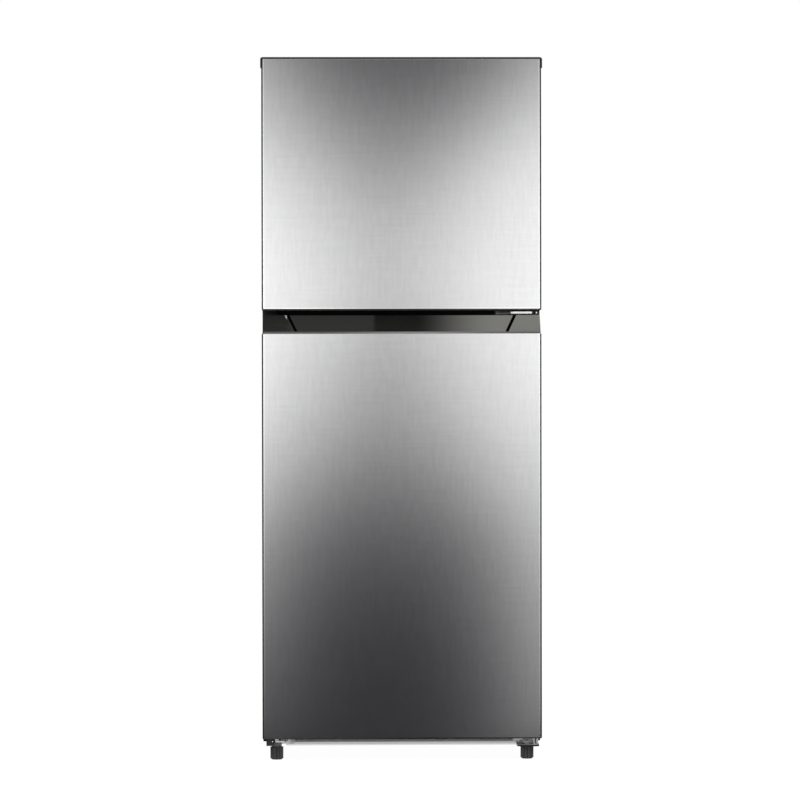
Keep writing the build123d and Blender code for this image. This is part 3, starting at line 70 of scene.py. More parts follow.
class Net:
    """One socket of a node tree that takes part in plain arithmetic."""

    def __init__(self, tree, socket=None):
        self.tree = tree
        self.socket = socket

    def node(self, kind, settings=None, sockets=None, out=0):
        """Adds a node: its settings first, then its sockets' values or links. A list makes several links."""
        made = self.tree.nodes.new(kind)
        for name, value in (settings or {}).items():
            setattr(made, name, value)
        for name, value in (sockets or {}).items():
            for part in value if isinstance(value, list) else [value]:
                if isinstance(part, Net):
                    self.tree.links.new(part.socket, made.inputs[name])
                else:
                    made.inputs[name].default_value = part
        return Net(self.tree, made.outputs[out] if made.outputs else None)

    def sibling(self, out):
        """Another output of the node that made this one."""
        return Net(self.tree, self.socket.node.outputs[out])

    def maths(self, operation, first, second=0.0):
        """One step of arithmetic on values."""
        return self.node("ShaderNodeMath", {"operation": operation}, {0: first, 1: second})

    def __add__(self, other):
        return self.maths("ADD", self, other)

    def __radd__(self, other):
        return self.maths("ADD", other, self)

    def __sub__(self, other):
        return self.maths("SUBTRACT", self, other)

    def __rsub__(self, other):
        return self.maths("SUBTRACT", other, self)

    def __mul__(self, other):
        return self.maths("MULTIPLY", self, other)

    def __rmul__(self, other):
        return self.maths("MULTIPLY", other, self)

    def __truediv__(self, other):
        return self.maths("DIVIDE", self, other)

    def __pow__(self, other):
        return self.maths("POWER", self, other)

    def __abs__(self):
        return self.maths("ABSOLUTE", self)

    def most(self, other):
        """The greater of two values."""
        return self.maths("MAXIMUM", self, other)

    def least(self, other):
        """The smaller of two values."""
        return self.maths("MINIMUM", self, other)

    def axes(self):
        """The three parts of a vector."""
        split = self.node("ShaderNodeSeparateXYZ", None, {0: self})
        return [split.sibling(index) for index in range(3)]

    def ramp(self, low, high):
        """Nought below one value and one above another, smooth between."""
        return self.node(
            "ShaderNodeMapRange",
            {"interpolation_type": "SMOOTHSTEP"},
            {"Value": self, "From Min": low, "From Max": high},
        )

    def bell(self, middle, width):
        """A bell curve of height one."""
        gap = (self - middle) / width
        return self.maths("EXPONENT", gap * gap * -1.0)


def new_finish(name):
    """An empty material and the start of its tree."""
    material = bpy.data.materials.new(name)
    material.use_nodes = True
    material.node_tree.nodes.clear()
    return material, Net(material.node_tree)


def close_finish(net, shader):
    """Links a shader to the output of its material."""
    net.node("ShaderNodeOutputMaterial", None, {"Surface": shader})


def object_axes(net):
    """The place on a piece in metres: across, along and up."""
    return net.node("ShaderNodeTexCoord", None, None, "Object").axes()


def place_of(net, stretch=(1.0, 1.0, 1.0)):
    """Object coordinates, stretched for patterns that run one way."""
    where = net.node("ShaderNodeTexCoord", None, None, "Object")
    return net.node("ShaderNodeMapping", {"vector_type": "POINT"}, {"Vector": where, "Scale": stretch})


def noise(net, scale, stretch=(1.0, 1.0, 1.0), detail=2.0, roughness=0.5):
    """Grey noise between nought and one."""
    return net.node(
        "ShaderNodeTexNoise",
        {"noise_dimensions": "3D"},
        {"Vector": place_of(net, stretch), "Scale": scale, "Detail": detail, "Roughness": roughness},
    )


def tint(net, amount, dark, light):
    """A colour between two shades, or over a linked one, by a value between nought and one."""
    return net.node(
        "ShaderNodeMix",
        {"data_type": "RGBA"},
        {"Factor": amount, 6: dark if isinstance(dark, Net) else (*dark, 1.0), 7: (*light, 1.0)},
        2,
    )


def relief(net, height, strength, distance):
    """Small relief from a height between nought and one."""
    return net.node("ShaderNodeBump", None, {"Height": height, "Strength": strength, "Distance": distance})


def surface(net, **sockets):
    """The main shader of a finish. Sockets are named with underscores for spaces."""
    wanted = {name.replace("_", " "): value for name, value in sockets.items()}
    return net.node("ShaderNodeBsdfPrincipled", None, wanted)


# Finishes

def brushed_steel():
    """Door skins: neutral steel with upright brush marks and level lines, fine and broad, as on linen."""
    material, net = new_finish("door_steel")
    upright = noise(net, 1.0, (2600.0, 2600.0, 28.0), 3.0)
    level = noise(net, 1.0, (9.0, 9.0, 1500.0), 2.0)
    streak = noise(net, 1.0, (220.0, 220.0, 32.0), 2.0)
    line = noise(net, 1.0, (10.0, 10.0, 220.0), 2.0)
    grain = upright * 0.15 + level * 0.1 + streak * 0.45 + line * 0.3
    cloud = noise(net, 3.0, (1.0, 1.0, 0.5), 2.0)
    shader = surface(
        net,
        Base_Color=tint(net, grain, (0.545, 0.545, 0.547), (0.705, 0.705, 0.707)),
        Metallic=1.0,
        Roughness=0.2 + grain * 0.05 + cloud * 0.02,
        Anisotropic=0.35,
        Normal=relief(net, grain, 0.02, 0.0004),
    )
    close_finish(net, shader)
    return material


def cabinet_paint():
    """Cabinet wrap: black powder coat with a fine leather grain, darker than such paint as painted shade, so
    the gap between the doors reads black.
    """
    material, net = new_finish("cabinet_powder_coat")
    grain = noise(net, 900.0, detail=3.0)
    cloud = noise(net, 4.0, detail=2.0)
    # Near-black base colour: the coat's own black, darkened further as painted shade for the gap between the
    # doors
    shader = surface(
        net,
        Base_Color=tint(net, cloud * 0.6 + grain * 0.4, (0.007, 0.007, 0.0075), (0.012, 0.012, 0.0125)),
        Roughness=0.46 + grain * 0.12,
        Specular_IOR_Level=0.2,
        Normal=relief(net, grain, 0.25, 0.0004),
    )
    close_finish(net, shader)
    return material


TAPE_START = 300.0 * MM


def rigid_foam():
    """Foamed insulation: pale yellow with a cellular skin, under dark tape where it meets the back panel."""
    material, net = new_finish("rigid_foam")
    cells = net.node("ShaderNodeTexVoronoi", None, {"Vector": place_of(net), "Scale": 500.0})
    cloud = noise(net, 12.0, detail=3.0)
    along = object_axes(net)[1]
    foam = tint(net, cloud, (0.66, 0.52, 0.26), (0.78, 0.66, 0.38))
    shader = surface(
        net,
        Base_Color=tint(net, along.ramp(TAPE_START, TAPE_START + 1.0 * MM), foam, (0.02, 0.02, 0.021)),
        Roughness=0.8 + cells * 0.15,
        Normal=relief(net, cells, 0.4, 0.0006),
    )
    close_finish(net, shader)
    return material


def galvanised_sheet():
    """Zinc dipped sheet with a faint spangle."""
    material, net = new_finish("galvanised_sheet")
    spangle = net.node("ShaderNodeTexVoronoi", None, {"Vector": place_of(net), "Scale": 70.0}, "Color")
    grey = net.node("ShaderNodeSeparateColor", None, {"Color": spangle})
    streak = noise(net, 60.0, (1.0, 1.0, 0.08), 3.0)
    shader = surface(
        net,
        Base_Color=tint(net, grey * 0.7 + streak * 0.3, (0.5, 0.51, 0.52), (0.62, 0.63, 0.64)),
        Metallic=0.85,
        Roughness=0.38 + grey * 0.14,
        Normal=relief(net, streak, 0.05, 0.0003),
    )
    close_finish(net, shader)
    return material


def rail_enamel():
    """Base rail: pale zinc coat, almost even, with a slight dulling."""
    material, net = new_finish("rail_zinc")
    peel = noise(net, 420.0, detail=2.0)
    cloud = noise(net, 9.0, (1.0, 1.0, 3.0), 2.0)
    shader = surface(
        net,
        Base_Color=tint(net, cloud, (0.72, 0.72, 0.72), (0.78, 0.78, 0.78)),
        Metallic=0.85,
        Roughness=0.06 + peel * 0.03,
        Normal=relief(net, peel, 0.05, 0.0002),
    )
    close_finish(net, shader)
    return material


def moulding(name, dark, light, roughness, scale=1400.0, bump=0.2, level=0.5, top=None):
    """Moulded plastic with a spark-eroded grain and slight flow marks, and another shade above a height."""
    material, net = new_finish(name)
    grain = noise(net, scale, detail=2.0)
    flow = noise(net, 7.0, (1.0, 1.0, 2.5), 2.0)
    colour = tint(net, flow * 0.7 + grain * 0.3, dark, light)
    if top:
        height, shade = top
        up = object_axes(net)[2]
        # A second colour above a given height; for the feet this is painted light
        colour = tint(net, up.ramp(height, height + 1.0 * MM), colour, shade)
    shader = surface(
        net,
        Base_Color=colour,
        Roughness=roughness + grain * 0.1 + flow * 0.04,
        Specular_IOR_Level=level,
        Normal=relief(net, grain, bump, 0.0002),
    )
    close_finish(net, shader)
    return material


LIP_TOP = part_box("fridge_door_panel")[1][2] + 4.9 * MM
LIP_DEPTH = 8.0 * MM
LIP_MIDDLE, LIP_REACH = 30.0 * MM, 140.0 * MM
CORNER_X, CORNER_HALF = -246.2 * MM, 3.2 * MM
POCKET_REACH = 266.0 * MM


def handle_gloss():
    """Handle band: dark gloss, with a painted highlight on one corner and a lighter painted highlight along
    its lower edge, and finger pocket walls painted matt black as painted shade.
    """
    material, net = new_finish("handle_gloss")
    rub = noise(net, 40.0, (0.25, 1.0, 3.0), 3.0)
    turned = net.node("ShaderNodeTexCoord", None, None, "Normal").axes()[0]
    across, along, up = object_axes(net)
    # Painted highlight: a pale spot on the top corner beside the left finger pocket, narrowing downwards
    drop = (BAND_TOP - up) / 2.0
    reach = CORNER_HALF - drop * 0.8
    corner_glint = 1.0 - abs(across - CORNER_X - drop * 0.4).ramp(reach, reach + 0.6 * MM)
    # Painted highlight: a lighter grey line along the band's lower edge, brightest near the middle
    low = 1.0 - up.ramp(LIP_TOP - 0.4 * MM, LIP_TOP)
    outer = 1.0 - along.ramp(FRONT + LIP_DEPTH, FRONT + LIP_DEPTH + 1.0 * MM)
    lip_highlight = low * outer * across.bell(LIP_MIDDLE, LIP_REACH)
    black = tint(net, rub, (0.003, 0.003, 0.003), (0.006, 0.006, 0.0055))
    band = surface(
        net,
        # The band's black, with the painted highlight along its lower edge and the painted corner highlight
        Base_Color=tint(net, corner_glint, tint(net, lip_highlight, black, (0.142, 0.142, 0.14)), (0.5, 0.5, 0.5)),
        Roughness=0.2 + rub * 0.1,
        Specular_IOR_Level=1.0,
        Normal=relief(net, rub, 0.02, 0.0002),
    )
    # Painted shade: the finger pocket's side walls are near black and matt, standing in for the shade in the
    # recess
    pocket_shade_black = surface(
        net,
        Base_Color=tint(net, rub, (0.001, 0.001, 0.001), (0.002, 0.002, 0.002)),
        Roughness=0.75 + rub * 0.1,
        Specular_IOR_Level=0.0,
    )
    # Faces that turn sideways within the pocket's reach take the painted shade
    pocket_shade_mask = abs(turned).ramp(0.5, 0.7) * (1.0 - abs(across).ramp(POCKET_REACH, POCKET_REACH + 4.0 * MM))
    close_finish(net, net.node("ShaderNodeMixShader", None, {0: pocket_shade_mask, 1: band, 2: pocket_shade_black}))
    return material


def hinge_finish(name, enamel, mask, shade=None):
    """Enamelled hinge with plated working faces, told apart by masks over its place in metres."""
    material, net = new_finish(name)
    peel = noise(net, 380.0, detail=2.0)
    dull = noise(net, 90.0, detail=4.0)
    place = object_axes(net)
    # With a shade mask, the enamel colour runs between its two shades by place: on the lower hinge this is
    # painted shade and painted light
    paint = surface(
        net,
        Base_Color=tint(net, shade(*place) * (0.8 + 0.2 * peel) if shade else peel, *enamel),
        Roughness=0.34 + peel * 0.12,
        Specular_IOR_Level=0.3,
        Normal=relief(net, peel, 0.15, 0.0002),
    )
    plate = surface(
        net,
        Base_Color=tint(net, dull, (0.7, 0.7, 0.69), (0.84, 0.84, 0.83)),
        Metallic=1.0,
        Roughness=0.22 + dull * 0.14,
    )
    close_finish(net, net.node("ShaderNodeMixShader", None, {0: mask(*place), 1: paint, 2: plate}))
    return material


def plated(name, dark, light, roughness):
    """Plated or bare metal with a fine rolled grain and dulled patches."""
    material, net = new_finish(name)
    rolled = noise(net, 1.0, (120.0, 900.0, 900.0), 2.0)
    dull = noise(net, 55.0, detail=4.0)
    shader = surface(
        net,
        Base_Color=tint(net, dull * 0.6 + rolled * 0.4, dark, light),
        Metallic=1.0,
        Roughness=roughness + dull * 0.14 + rolled * 0.06,
        Normal=relief(net, rolled, 0.04, 0.0002),
    )
    close_finish(net, shader)
    return material


def see_through(name, colour, index, roughness):
    """Clear plastic or glass, with faint flow in its gloss."""
    material, net = new_finish(name)
    flow = noise(net, 16.0, detail=2.0)
    shader = surface(
        net,
        Base_Color=tint(net, flow, colour, tuple(0.97 * part + 0.03 for part in colour)),
        Roughness=roughness + flow * 0.04,
        Transmission_Weight=1.0,
        IOR=index,
    )
    close_finish(net, shader)
    return material


finishes = {
    "steel_look": brushed_steel(),
    "cabinet_paint": cabinet_paint(),
    "foam": rigid_foam(),
    "galvanised": galvanised_sheet(),
    # Rail paint of the mullion between the doors: its own dark paint, made near black as painted shade so the
    # deep gap reads black
    "rail_paint": moulding("mullion_paint_and_shade", (0.002, 0.002, 0.002), (0.004, 0.004, 0.004), 0.6, level=0.12),
    "white_liner": moulding("white_liner", (0.78, 0.79, 0.79), (0.84, 0.845, 0.84), 0.22, 300.0, 0.06),
    "black_plastic": moulding("black_plastic", (0.016, 0.016, 0.017), (0.026, 0.026, 0.027), 0.42),
    "handle_black": handle_gloss(),
    "black_paint": moulding("black_enamel", (0.016, 0.016, 0.017), (0.03, 0.03, 0.031), 0.26, 380.0, 0.15),
    "zinc": plated("bright_zinc", (0.66, 0.66, 0.65), (0.8, 0.8, 0.79), 0.2),
    # Gasket: its own dark grey, darkened further as painted shade in the gap between the doors
    "gasket_grey": moulding("seal_grey_and_shade", (0.008, 0.008, 0.009), (0.013, 0.013, 0.014), 0.6, level=0.2),
    "clear_plastic": see_through("clear_moulding", (0.9, 0.94, 0.96), 1.49, 0.02),
    "shelf_glass": see_through("shelf_glass", (0.86, 0.95, 0.92), 1.52, 0.01),
    "copper": plated("drawn_copper", (0.52, 0.2, 0.1), (0.76, 0.36, 0.21), 0.22),
    "bare_aluminium": plated("bare_aluminium", (0.68, 0.69, 0.7), (0.82, 0.83, 0.84), 0.28),
    "control_grey": moulding("control_grey", (0.24, 0.25, 0.27), (0.3, 0.31, 0.33), 0.36),
}
for subpart in frame["record"]["subparts"]:
    for slot in nodes[subpart["node"]].material_slots:
        slot.material = finishes[subpart["material_slot"]]
# Above this height the feet turn pale grey: painted light on their upper part
FOOT_PAINTED_LIGHT = (27.5 * MM, (0.15, 0.16, 0.16))
foot_grey = moulding("foot_moulding", (0.026, 0.027, 0.0265), (0.05, 0.052, 0.051), 0.4, top=FOOT_PAINTED_LIGHT)
for node, finish in (
    ("base_rail", rail_enamel()),
    ("front_foot_left", foot_grey),
    ("front_foot_right", foot_grey),
):
    for slot in nodes[node].material_slots:
        slot.material = finish

bush_low, bush_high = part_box("freezer_door_bushes")
hinge_x, hinge_y = (bush_low[0] + bush_high[0]) / 2, (bush_low[1] + bush_high[1]) / 2
PIN = 4.3 * MM
DARK_PATCH_HALF = 4.0 * MM
BOLT_REACH = 24.0 * MM
LOWER_PLATE_TOP = 32.3 * MM
gap_middle = (BAND_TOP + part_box("freezer_door_bottom_cap")[0][2]) / 2
HALF_PLATE = 2.2 * MM
PLATE_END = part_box("middle_hinge")[0][0] + 2.5 * MM


def pin_mask(across, along, up):
    """One on the pin that stands on the lower bracket, and less on its flange and plate top, rubbed through
    to the plating.
    """
    reach = ((across - hinge_x) ** 2.0 + (along - hinge_y) ** 2.0) ** 0.5
    pin = (1.0 - reach.ramp(PIN, PIN + 0.2 * MM)) * up.ramp(LOWER_PLATE_TOP, LOWER_PLATE_TOP + 0.2 * MM)
    return pin.most(0.35 * edge_shade_and_light(across, along, up))


def plate_mask(across, along, up):
    """One on the level plate between the doors, but for a dark patch in front of the pin."""
    level = 1.0 - abs(up - gap_middle).ramp(HALF_PLATE, HALF_PLATE + 0.3 * MM)
    # A dark patch on the plate in front of the pin, where the enamel shows instead of the zinc
    beside = abs(across - hinge_x).ramp(DARK_PATCH_HALF, DARK_PATCH_HALF + 0.6 * MM)
    dark_patch = (1.0 - beside) * (1.0 - along.ramp(hinge_y, hinge_y + PIN))
    return level * (1.0 - dark_patch) * across.ramp(PLATE_END, PLATE_END + 0.5 * MM)


def edge_shade_and_light(across, along, up):
    """Nought on the front edge of the lower bracket's plate, where the enamel is painted near black as shade,
    and one on top of it and on the flange, where it is painted pale as light.
    """
    return up.ramp(LOWER_PLATE_TOP - 0.9 * MM, LOWER_PLATE_TOP - 0.4 * MM)


def bolt_mask(across, along, up):
    """One on every bolt but the pair of the middle hinge, painted near black as shade in the gap between the
    doors.
    """
    return abs(up - gap_middle).ramp(BOLT_REACH, BOLT_REACH + 2.0 * MM)


# Near-black enamel of the middle hinge and its bolts: painted shade, so they read black in the gap between
# the doors
GAP_SHADE_BLACK = ((0.002, 0.002, 0.002), (0.004, 0.004, 0.004))
for node, enamel, mask, shade in (
    # Lower hinge enamel: near black on the plate's front edge as a painted shadow line, pale on the plate top
    # and flange as painted light where they sit in shade
    ("lower_hinge", ((0.012, 0.012, 0.012), (0.8, 0.8, 0.8)), pin_mask, edge_shade_and_light),
    ("middle_hinge", GAP_SHADE_BLACK, plate_mask, None),
    ("hinge_bolts", GAP_SHADE_BLACK, bolt_mask, None),
):
    for slot in nodes[node].material_slots:
        slot.material = hinge_finish(node + "_finish", enamel, mask, shade)


# Pieces

ROUND_STEPS = 8
CREASE = 0.01
NOTCH_STEP = 0.02 * MM


def new_piece(name, mesh, body):
    """Links a finished mesh as a piece that rides on a body."""
    piece = bpy.data.objects.new(name, mesh)
    bpy.context.scene.collection.objects.link(piece)
    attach(piece, body)
    return piece


def quarter_turn(steps):
    """Even angles from nought to a right angle."""
    return [math.pi / 2 * step / steps for step in range(steps + 1)]


def rolled_edge(roll):
    """Section of a rolled edge: rise from the edge, inset from the face, and lean of the surface."""
    return [
        (roll * (1 - math.cos(turn)), roll * (1 - math.sin(turn)), math.pi / 2 - turn)
        for turn in quarter_turn(ROUND_STEPS)
    ]


def hemmed_edge(rise, inset, *degrees):
    """Section of a hem: narrow slopes that lean less and less from the edge to the face."""
    leans = [math.radians(degree) for degree in degrees]
    section = [(0.0, inset, leans[0])]
    for count, lean in enumerate(leans):
        for share in (count / len(leans) + CREASE, (count + 1) / len(leans) - CREASE):
            section.append((share * rise, (1 - share) * inset, lean))
    return section + [(rise, 0.0, 0.0)]


def rolled_skin(name, node, body, corner, low_edge, high_edge, notch):
    """Door skin in one sheet: rounded upright corners, and shaped edges at the bottom and the top."""
    low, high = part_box(node)
    half, face, back = high[0], low[1], high[1]
    heights = [(low[2] + rise, inset, -lean) for rise, inset, lean in low_edge]
    heights += [(notch[0], 0.0, 0.0), (notch[0] + NOTCH_STEP, 0.0, 0.0)] if notch else []
    heights += [(high[2] - rise, inset, lean) for rise, inset, lean in reversed(high_edge)]
    outline = [(Vector((-half, back, 0)), Vector((-1, 0, 0)))]
    for turn in quarter_turn(ROUND_STEPS):
        facing = Vector((-math.cos(turn), -math.sin(turn), 0))
        outline.append((Vector((corner - half, face + corner, 0)) + corner * facing, facing))
    mirror = Vector((-1, 1, 1))
    outline += [(spot * mirror, facing * mirror) for spot, facing in reversed(outline)]
    points, normals = [], []
    for z, inset, lean in heights:
        for spot, facing in outline:
            place = spot - inset * facing
            if notch and z > notch[0] and place.y > notch[1]:
                place.y = notch[1]
            points.append((place.x, place.y, z))
            normals.append(facing * math.cos(lean) + Vector((0, 0, math.sin(lean))))
    across = len(outline)
    faces = []
    for row in range(len(heights) - 1):
        for column in range(across - 1):
            first = row * across + column
            faces.append((first, first + 1, first + 1 + across, first + across))
    mesh = bpy.data.meshes.new(name)
    mesh.from_pydata(points, [], faces)
    mesh.polygons.foreach_set("use_smooth", [True] * len(mesh.polygons))
    mesh.normals_split_custom_set_from_vertices([tuple(normal) for normal in normals])
    mesh.materials.append(finishes["steel_look"])
    piece = new_piece(name, mesh, body)
    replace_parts(piece, node)
    return piece


DOOR_CORNER = 6.0 * MM
FREEZER_TOP = rolled_edge(0.7 * MM)
FREEZER_HEM = hemmed_edge(4.4 * MM, 0.65 * MM, 84, 64, 33)
FRIDGE_TOP = hemmed_edge(0.7 * MM, 0.2 * MM, 33)
FRIDGE_HEM = hemmed_edge(2.2 * MM, 0.6 * MM, 33)
# Above this height the freezer door's skin reaches back no further than this, to clear the top hinge
HINGE_NOTCH = (1486.0 * MM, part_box("freezer_door_panel")[0][1] + 10.7 * MM)
for door, hem, top, notch in (
    ("freezer_door", FREEZER_HEM, FREEZER_TOP, HINGE_NOTCH),
    ("fridge_door", FRIDGE_HEM, FRIDGE_TOP, None),
):
    rolled_skin(door + "_skin", door + "_panel", door, DOOR_CORNER, hem, top, notch)


def vector(net, x, y, z):
    """Three numbers as one vector."""
    return net.node("ShaderNodeCombineXYZ", None, {0: x, 1: y, 2: z})


def grown(name, body, finish, build, values):
    """A piece grown by a geometry tree with named inputs, then kept as a plain mesh."""
    tree = bpy.data.node_groups.new(name, "GeometryNodeTree")
    for key, value in values.items():
        kind = "NodeSocketInt" if isinstance(value, int) else "NodeSocketFloat"
        tree.interface.new_socket(key, in_out="INPUT", socket_type=kind)
    tree.interface.new_socket("Geometry", in_out="OUTPUT", socket_type="NodeSocketGeometry")
    net = Net(tree)
    entry = tree.nodes.new("NodeGroupInput")
    shape = build(net, **{key: Net(tree, entry.outputs[key]) for key in values})
    shape = net.node("GeometryNodeRealizeInstances", None, {"Geometry": shape})
    shape = net.node("GeometryNodeSetMaterial", None, {"Geometry": shape, "Material": finish})
    net.node("NodeGroupOutput", None, {"Geometry": shape})
    carrier = bpy.data.objects.new(name + "_carrier", bpy.data.meshes.new(name + "_carrier"))
    bpy.context.scene.collection.objects.link(carrier)
    grower = carrier.modifiers.new("grow", "NODES")
    grower.node_group = tree
    for socket in tree.interface.items_tree:
        if socket.in_out == "INPUT":
            grower[socket.identifier] = values[socket.name]
    graph = bpy.context.evaluated_depsgraph_get()
    mesh = bpy.data.meshes.new_from_object(carrier.evaluated_get(graph), depsgraph=graph)
    bpy.data.objects.remove(carrier)
    mesh.name = name
    return new_piece(name, mesh, body)


def bar(net, radius, length, turn):
    """A round bar about the middle, turned from upright."""
    tube = net.node("GeometryNodeMeshCylinder", None, {"Vertices": 16, "Radius": radius, "Depth": length})
    smooth = net.node("GeometryNodeSetShadeSmooth", None, {0: tube, 1: tube.sibling("Side")})
    return net.node("GeometryNodeTransform", None, {"Geometry": smooth, "Rotation": turn})


def row(net, count, start, step):
    """Points in a row."""
    sockets = {"Count": count, "Start Location": start, "Offset": step}
    return net.node("GeometryNodeMeshLine", {"mode": "OFFSET"}, sockets)


def set_on(net, points, piece, **more):
    """Copies of a piece on points."""
    return net.node("GeometryNodeInstanceOnPoints", None, {"Points": points, "Instance": piece, **more})


def join(net, *pieces):
    """Several pieces as one."""
    return net.node("GeometryNodeJoinGeometry", None, {0: list(pieces)})


WELD = 1.0 * MM


def wire_shelf(net, half, front_y, depth, level, rod, wire, pitch, count, inset):
    """Three cross rods under a row of wires that run from front to back, welded where they meet."""
    first_rod = vector(net, 0.0, front_y + inset, level)
    rod_step = vector(net, 0.0, (depth - 2.0 * inset) / 2.0, 0.0)
    rods = set_on(net, row(net, 3, first_rod, rod_step), bar(net, rod, 2.0 * half, (0.0, math.pi / 2, 0.0)))
    wire_level = level + rod + wire - WELD
    first_wire = vector(net, pitch * (count - 1.0) / -2.0, front_y + depth / 2.0, wire_level)
    spots = row(net, count, first_wire, vector(net, pitch, 0.0, 0.0))
    return join(net, rods, set_on(net, spots, bar(net, wire, depth, (math.pi / 2, 0.0, 0.0))))


def screw(net, size):
    """Domed screw head with a cross recess, facing up."""
    ball = net.node("GeometryNodeMeshUVSphere", None, {"Segments": 20, "Rings": 12, "Radius": size})
    head = net.node("GeometryNodeTransform", None, {"Geometry": ball, "Scale": (1.0, 1.0, 0.5)})
    slots = []
    length, width, height = size * 1.1, size * 0.24, size * 0.5
    lift = vector(net, 0.0, 0.0, height)
    for sides in ((width, length), (length, width)):
        slot = net.node("GeometryNodeMeshCube", None, {"Size": vector(net, *sides, height)})
        slots.append(net.node("GeometryNodeTransform", None, {"Geometry": slot, "Translation": lift}))
    return net.node("GeometryNodeMeshBoolean", {"operation": "DIFFERENCE"}, {"Mesh 1": head, "Mesh 2": slots})


def panel_screws(net, half, low, high, back_y, size, count, seed):
    """Screws round the border of the back panel, each stopped at its own angle."""
    sides = {"Width": 2.0 * half, "Height": high - low}
    border = net.node("GeometryNodeCurvePrimitiveQuadrilateral", {"mode": "RECTANGLE"}, sides)
    spots = net.node("GeometryNodeCurveToPoints", {"mode": "COUNT"}, {"Curve": border, "Count": count})
    stand = {"Translation": vector(net, 0.0, back_y, (low + high) / 2.0), "Rotation": (math.pi / 2, 0.0, 0.0)}
    stood = net.node("GeometryNodeTransform", None, {"Geometry": spots, **stand})
    angles = {2: 0.0, 3: math.pi / 2, "Seed": seed}
    spin = net.node("FunctionNodeRandomValue", {"data_type": "FLOAT"}, angles, 1)
    return set_on(net, stood, screw(net, size), Rotation=vector(net, -math.pi / 2, spin, 0.0))


def knob_scale(net, centre_x, centre_z, face_y, reach, length, width, count, sweep):
    """Marks round the temperature knob, longer towards the coldest setting."""
    index = net.node("GeometryNodeInputIndex")
    turn = index / (count - 1.0) * sweep - sweep / 2.0
    across = centre_x + reach * net.maths("SINE", turn)
    up = centre_z + reach * net.maths("COSINE", turn)
    line = row(net, count, (0.0, 0.0, 0.0), (0.0, 0.0, 1.0 * MM))
    place = vector(net, across, face_y, up)
    points = net.node("GeometryNodeSetPosition", None, {"Geometry": line, "Position": place})
    mark = net.node("GeometryNodeMeshCube", None, {"Size": vector(net, width, width * 0.5, length)})
    tall = 0.55 + 0.45 * index / (count - 1.0)
    return set_on(net, points, mark, Rotation=vector(net, 0.0, turn, 0.0), Scale=vector(net, 1.0, 1.0, tall))


shelf_low, shelf_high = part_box("freezer_shelf")
SHELF_ROD = 2.5 * MM
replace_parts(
    grown(
        "wire_shelf", "cabinet", finishes["white_liner"], wire_shelf,
        {
            "half": shelf_high[0],
            "front_y": shelf_low[1],
            "depth": shelf_high[1] - shelf_low[1],
            "level": shelf_low[2] + SHELF_ROD,
            "rod": SHELF_ROD,
            "wire": 1.6 * MM,
            "pitch": 28.0 * MM,
            "count": 17,
            "inset": 8.0 * MM,
        },
    ),
    "freezer_shelf",
)
panel_low, panel_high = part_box("back_panel")
SCREW_INSET = 12.0 * MM
grown(
    "back_panel_screws", "cabinet", finishes["zinc"], panel_screws,
    {
        "half": panel_high[0] - SCREW_INSET,
        "low": panel_low[2] + SCREW_INSET,
        "high": panel_high[2] - SCREW_INSET,
        "back_y": panel_low[1] + 1.0 * MM,
        "size": 4.2 * MM,
        "count": 22,
        "seed": 4,
    },
)
knob_low, knob_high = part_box("temperature_knob")
grown(
    "knob_scale", "cabinet", finishes["control_grey"], knob_scale,
    {
        "centre_x": (knob_low[0] + knob_high[0]) / 2,
        "centre_z": (knob_low[2] + knob_high[2]) / 2,
        "face_y": knob_high[1] + 0.4 * MM,
        "reach": 19.0 * MM,
        "length": 3.6 * MM,
        "width": 0.9 * MM,
        "count": 9,
        "sweep": math.radians(240),
    },
)


TUBE_SIDES, BEND_STEPS = 16, 6


def swept(name, body, slot_name, runs):
    """Round tubes along paths of points, each with its radius and the radius of its bends."""
    points, faces = [], []
    sides = TUBE_SIDES
    for path, radius, bend in runs:
        corners = [Vector(spot) for spot in path]
        line = [corners[0]]
        for before, corner, after in zip(corners, corners[1:], corners[2:]):
            entering, leaving = (before - corner).normalized() * bend, (after - corner).normalized() * bend
            for turn in quarter_turn(BEND_STEPS):
                line.append(corner + entering * (1 - math.sin(turn)) + leaving * (1 - math.cos(turn)))
        line.append(corners[-1])
        heading = (line[1] - line[0]).normalized()
        across = heading.orthogonal().normalized()
        first = len(points)
        for place, spot in enumerate(line):
            ahead = (line[min(place + 1, len(line) - 1)] - line[max(place - 1, 0)]).normalized()
            across = (heading.rotation_difference(ahead) @ across).normalized()
            heading = ahead
            up = heading.cross(across)
            for side in range(sides):
                turn = 2 * math.pi * side / sides
                points.append(spot + radius * (math.cos(turn) * across + math.sin(turn) * up))
        for ring in range(len(line) - 1):
            for side in range(sides):
                low, next_low = first + ring * sides + side, first + ring * sides + (side + 1) % sides
                faces.append((low, next_low, next_low + sides, low + sides))
        faces.append(tuple(reversed(range(first, first + sides))))
        faces.append(tuple(range(len(points) - sides, len(points))))
    mesh = bpy.data.meshes.new(name)
    mesh.from_pydata([tuple(spot) for spot in points], [], faces)
    mesh.polygons.foreach_set("use_smooth", [len(face.vertices) == 4 for face in mesh.polygons])
    mesh.materials.append(finishes[slot_name])
    return new_piece(name, mesh, body)


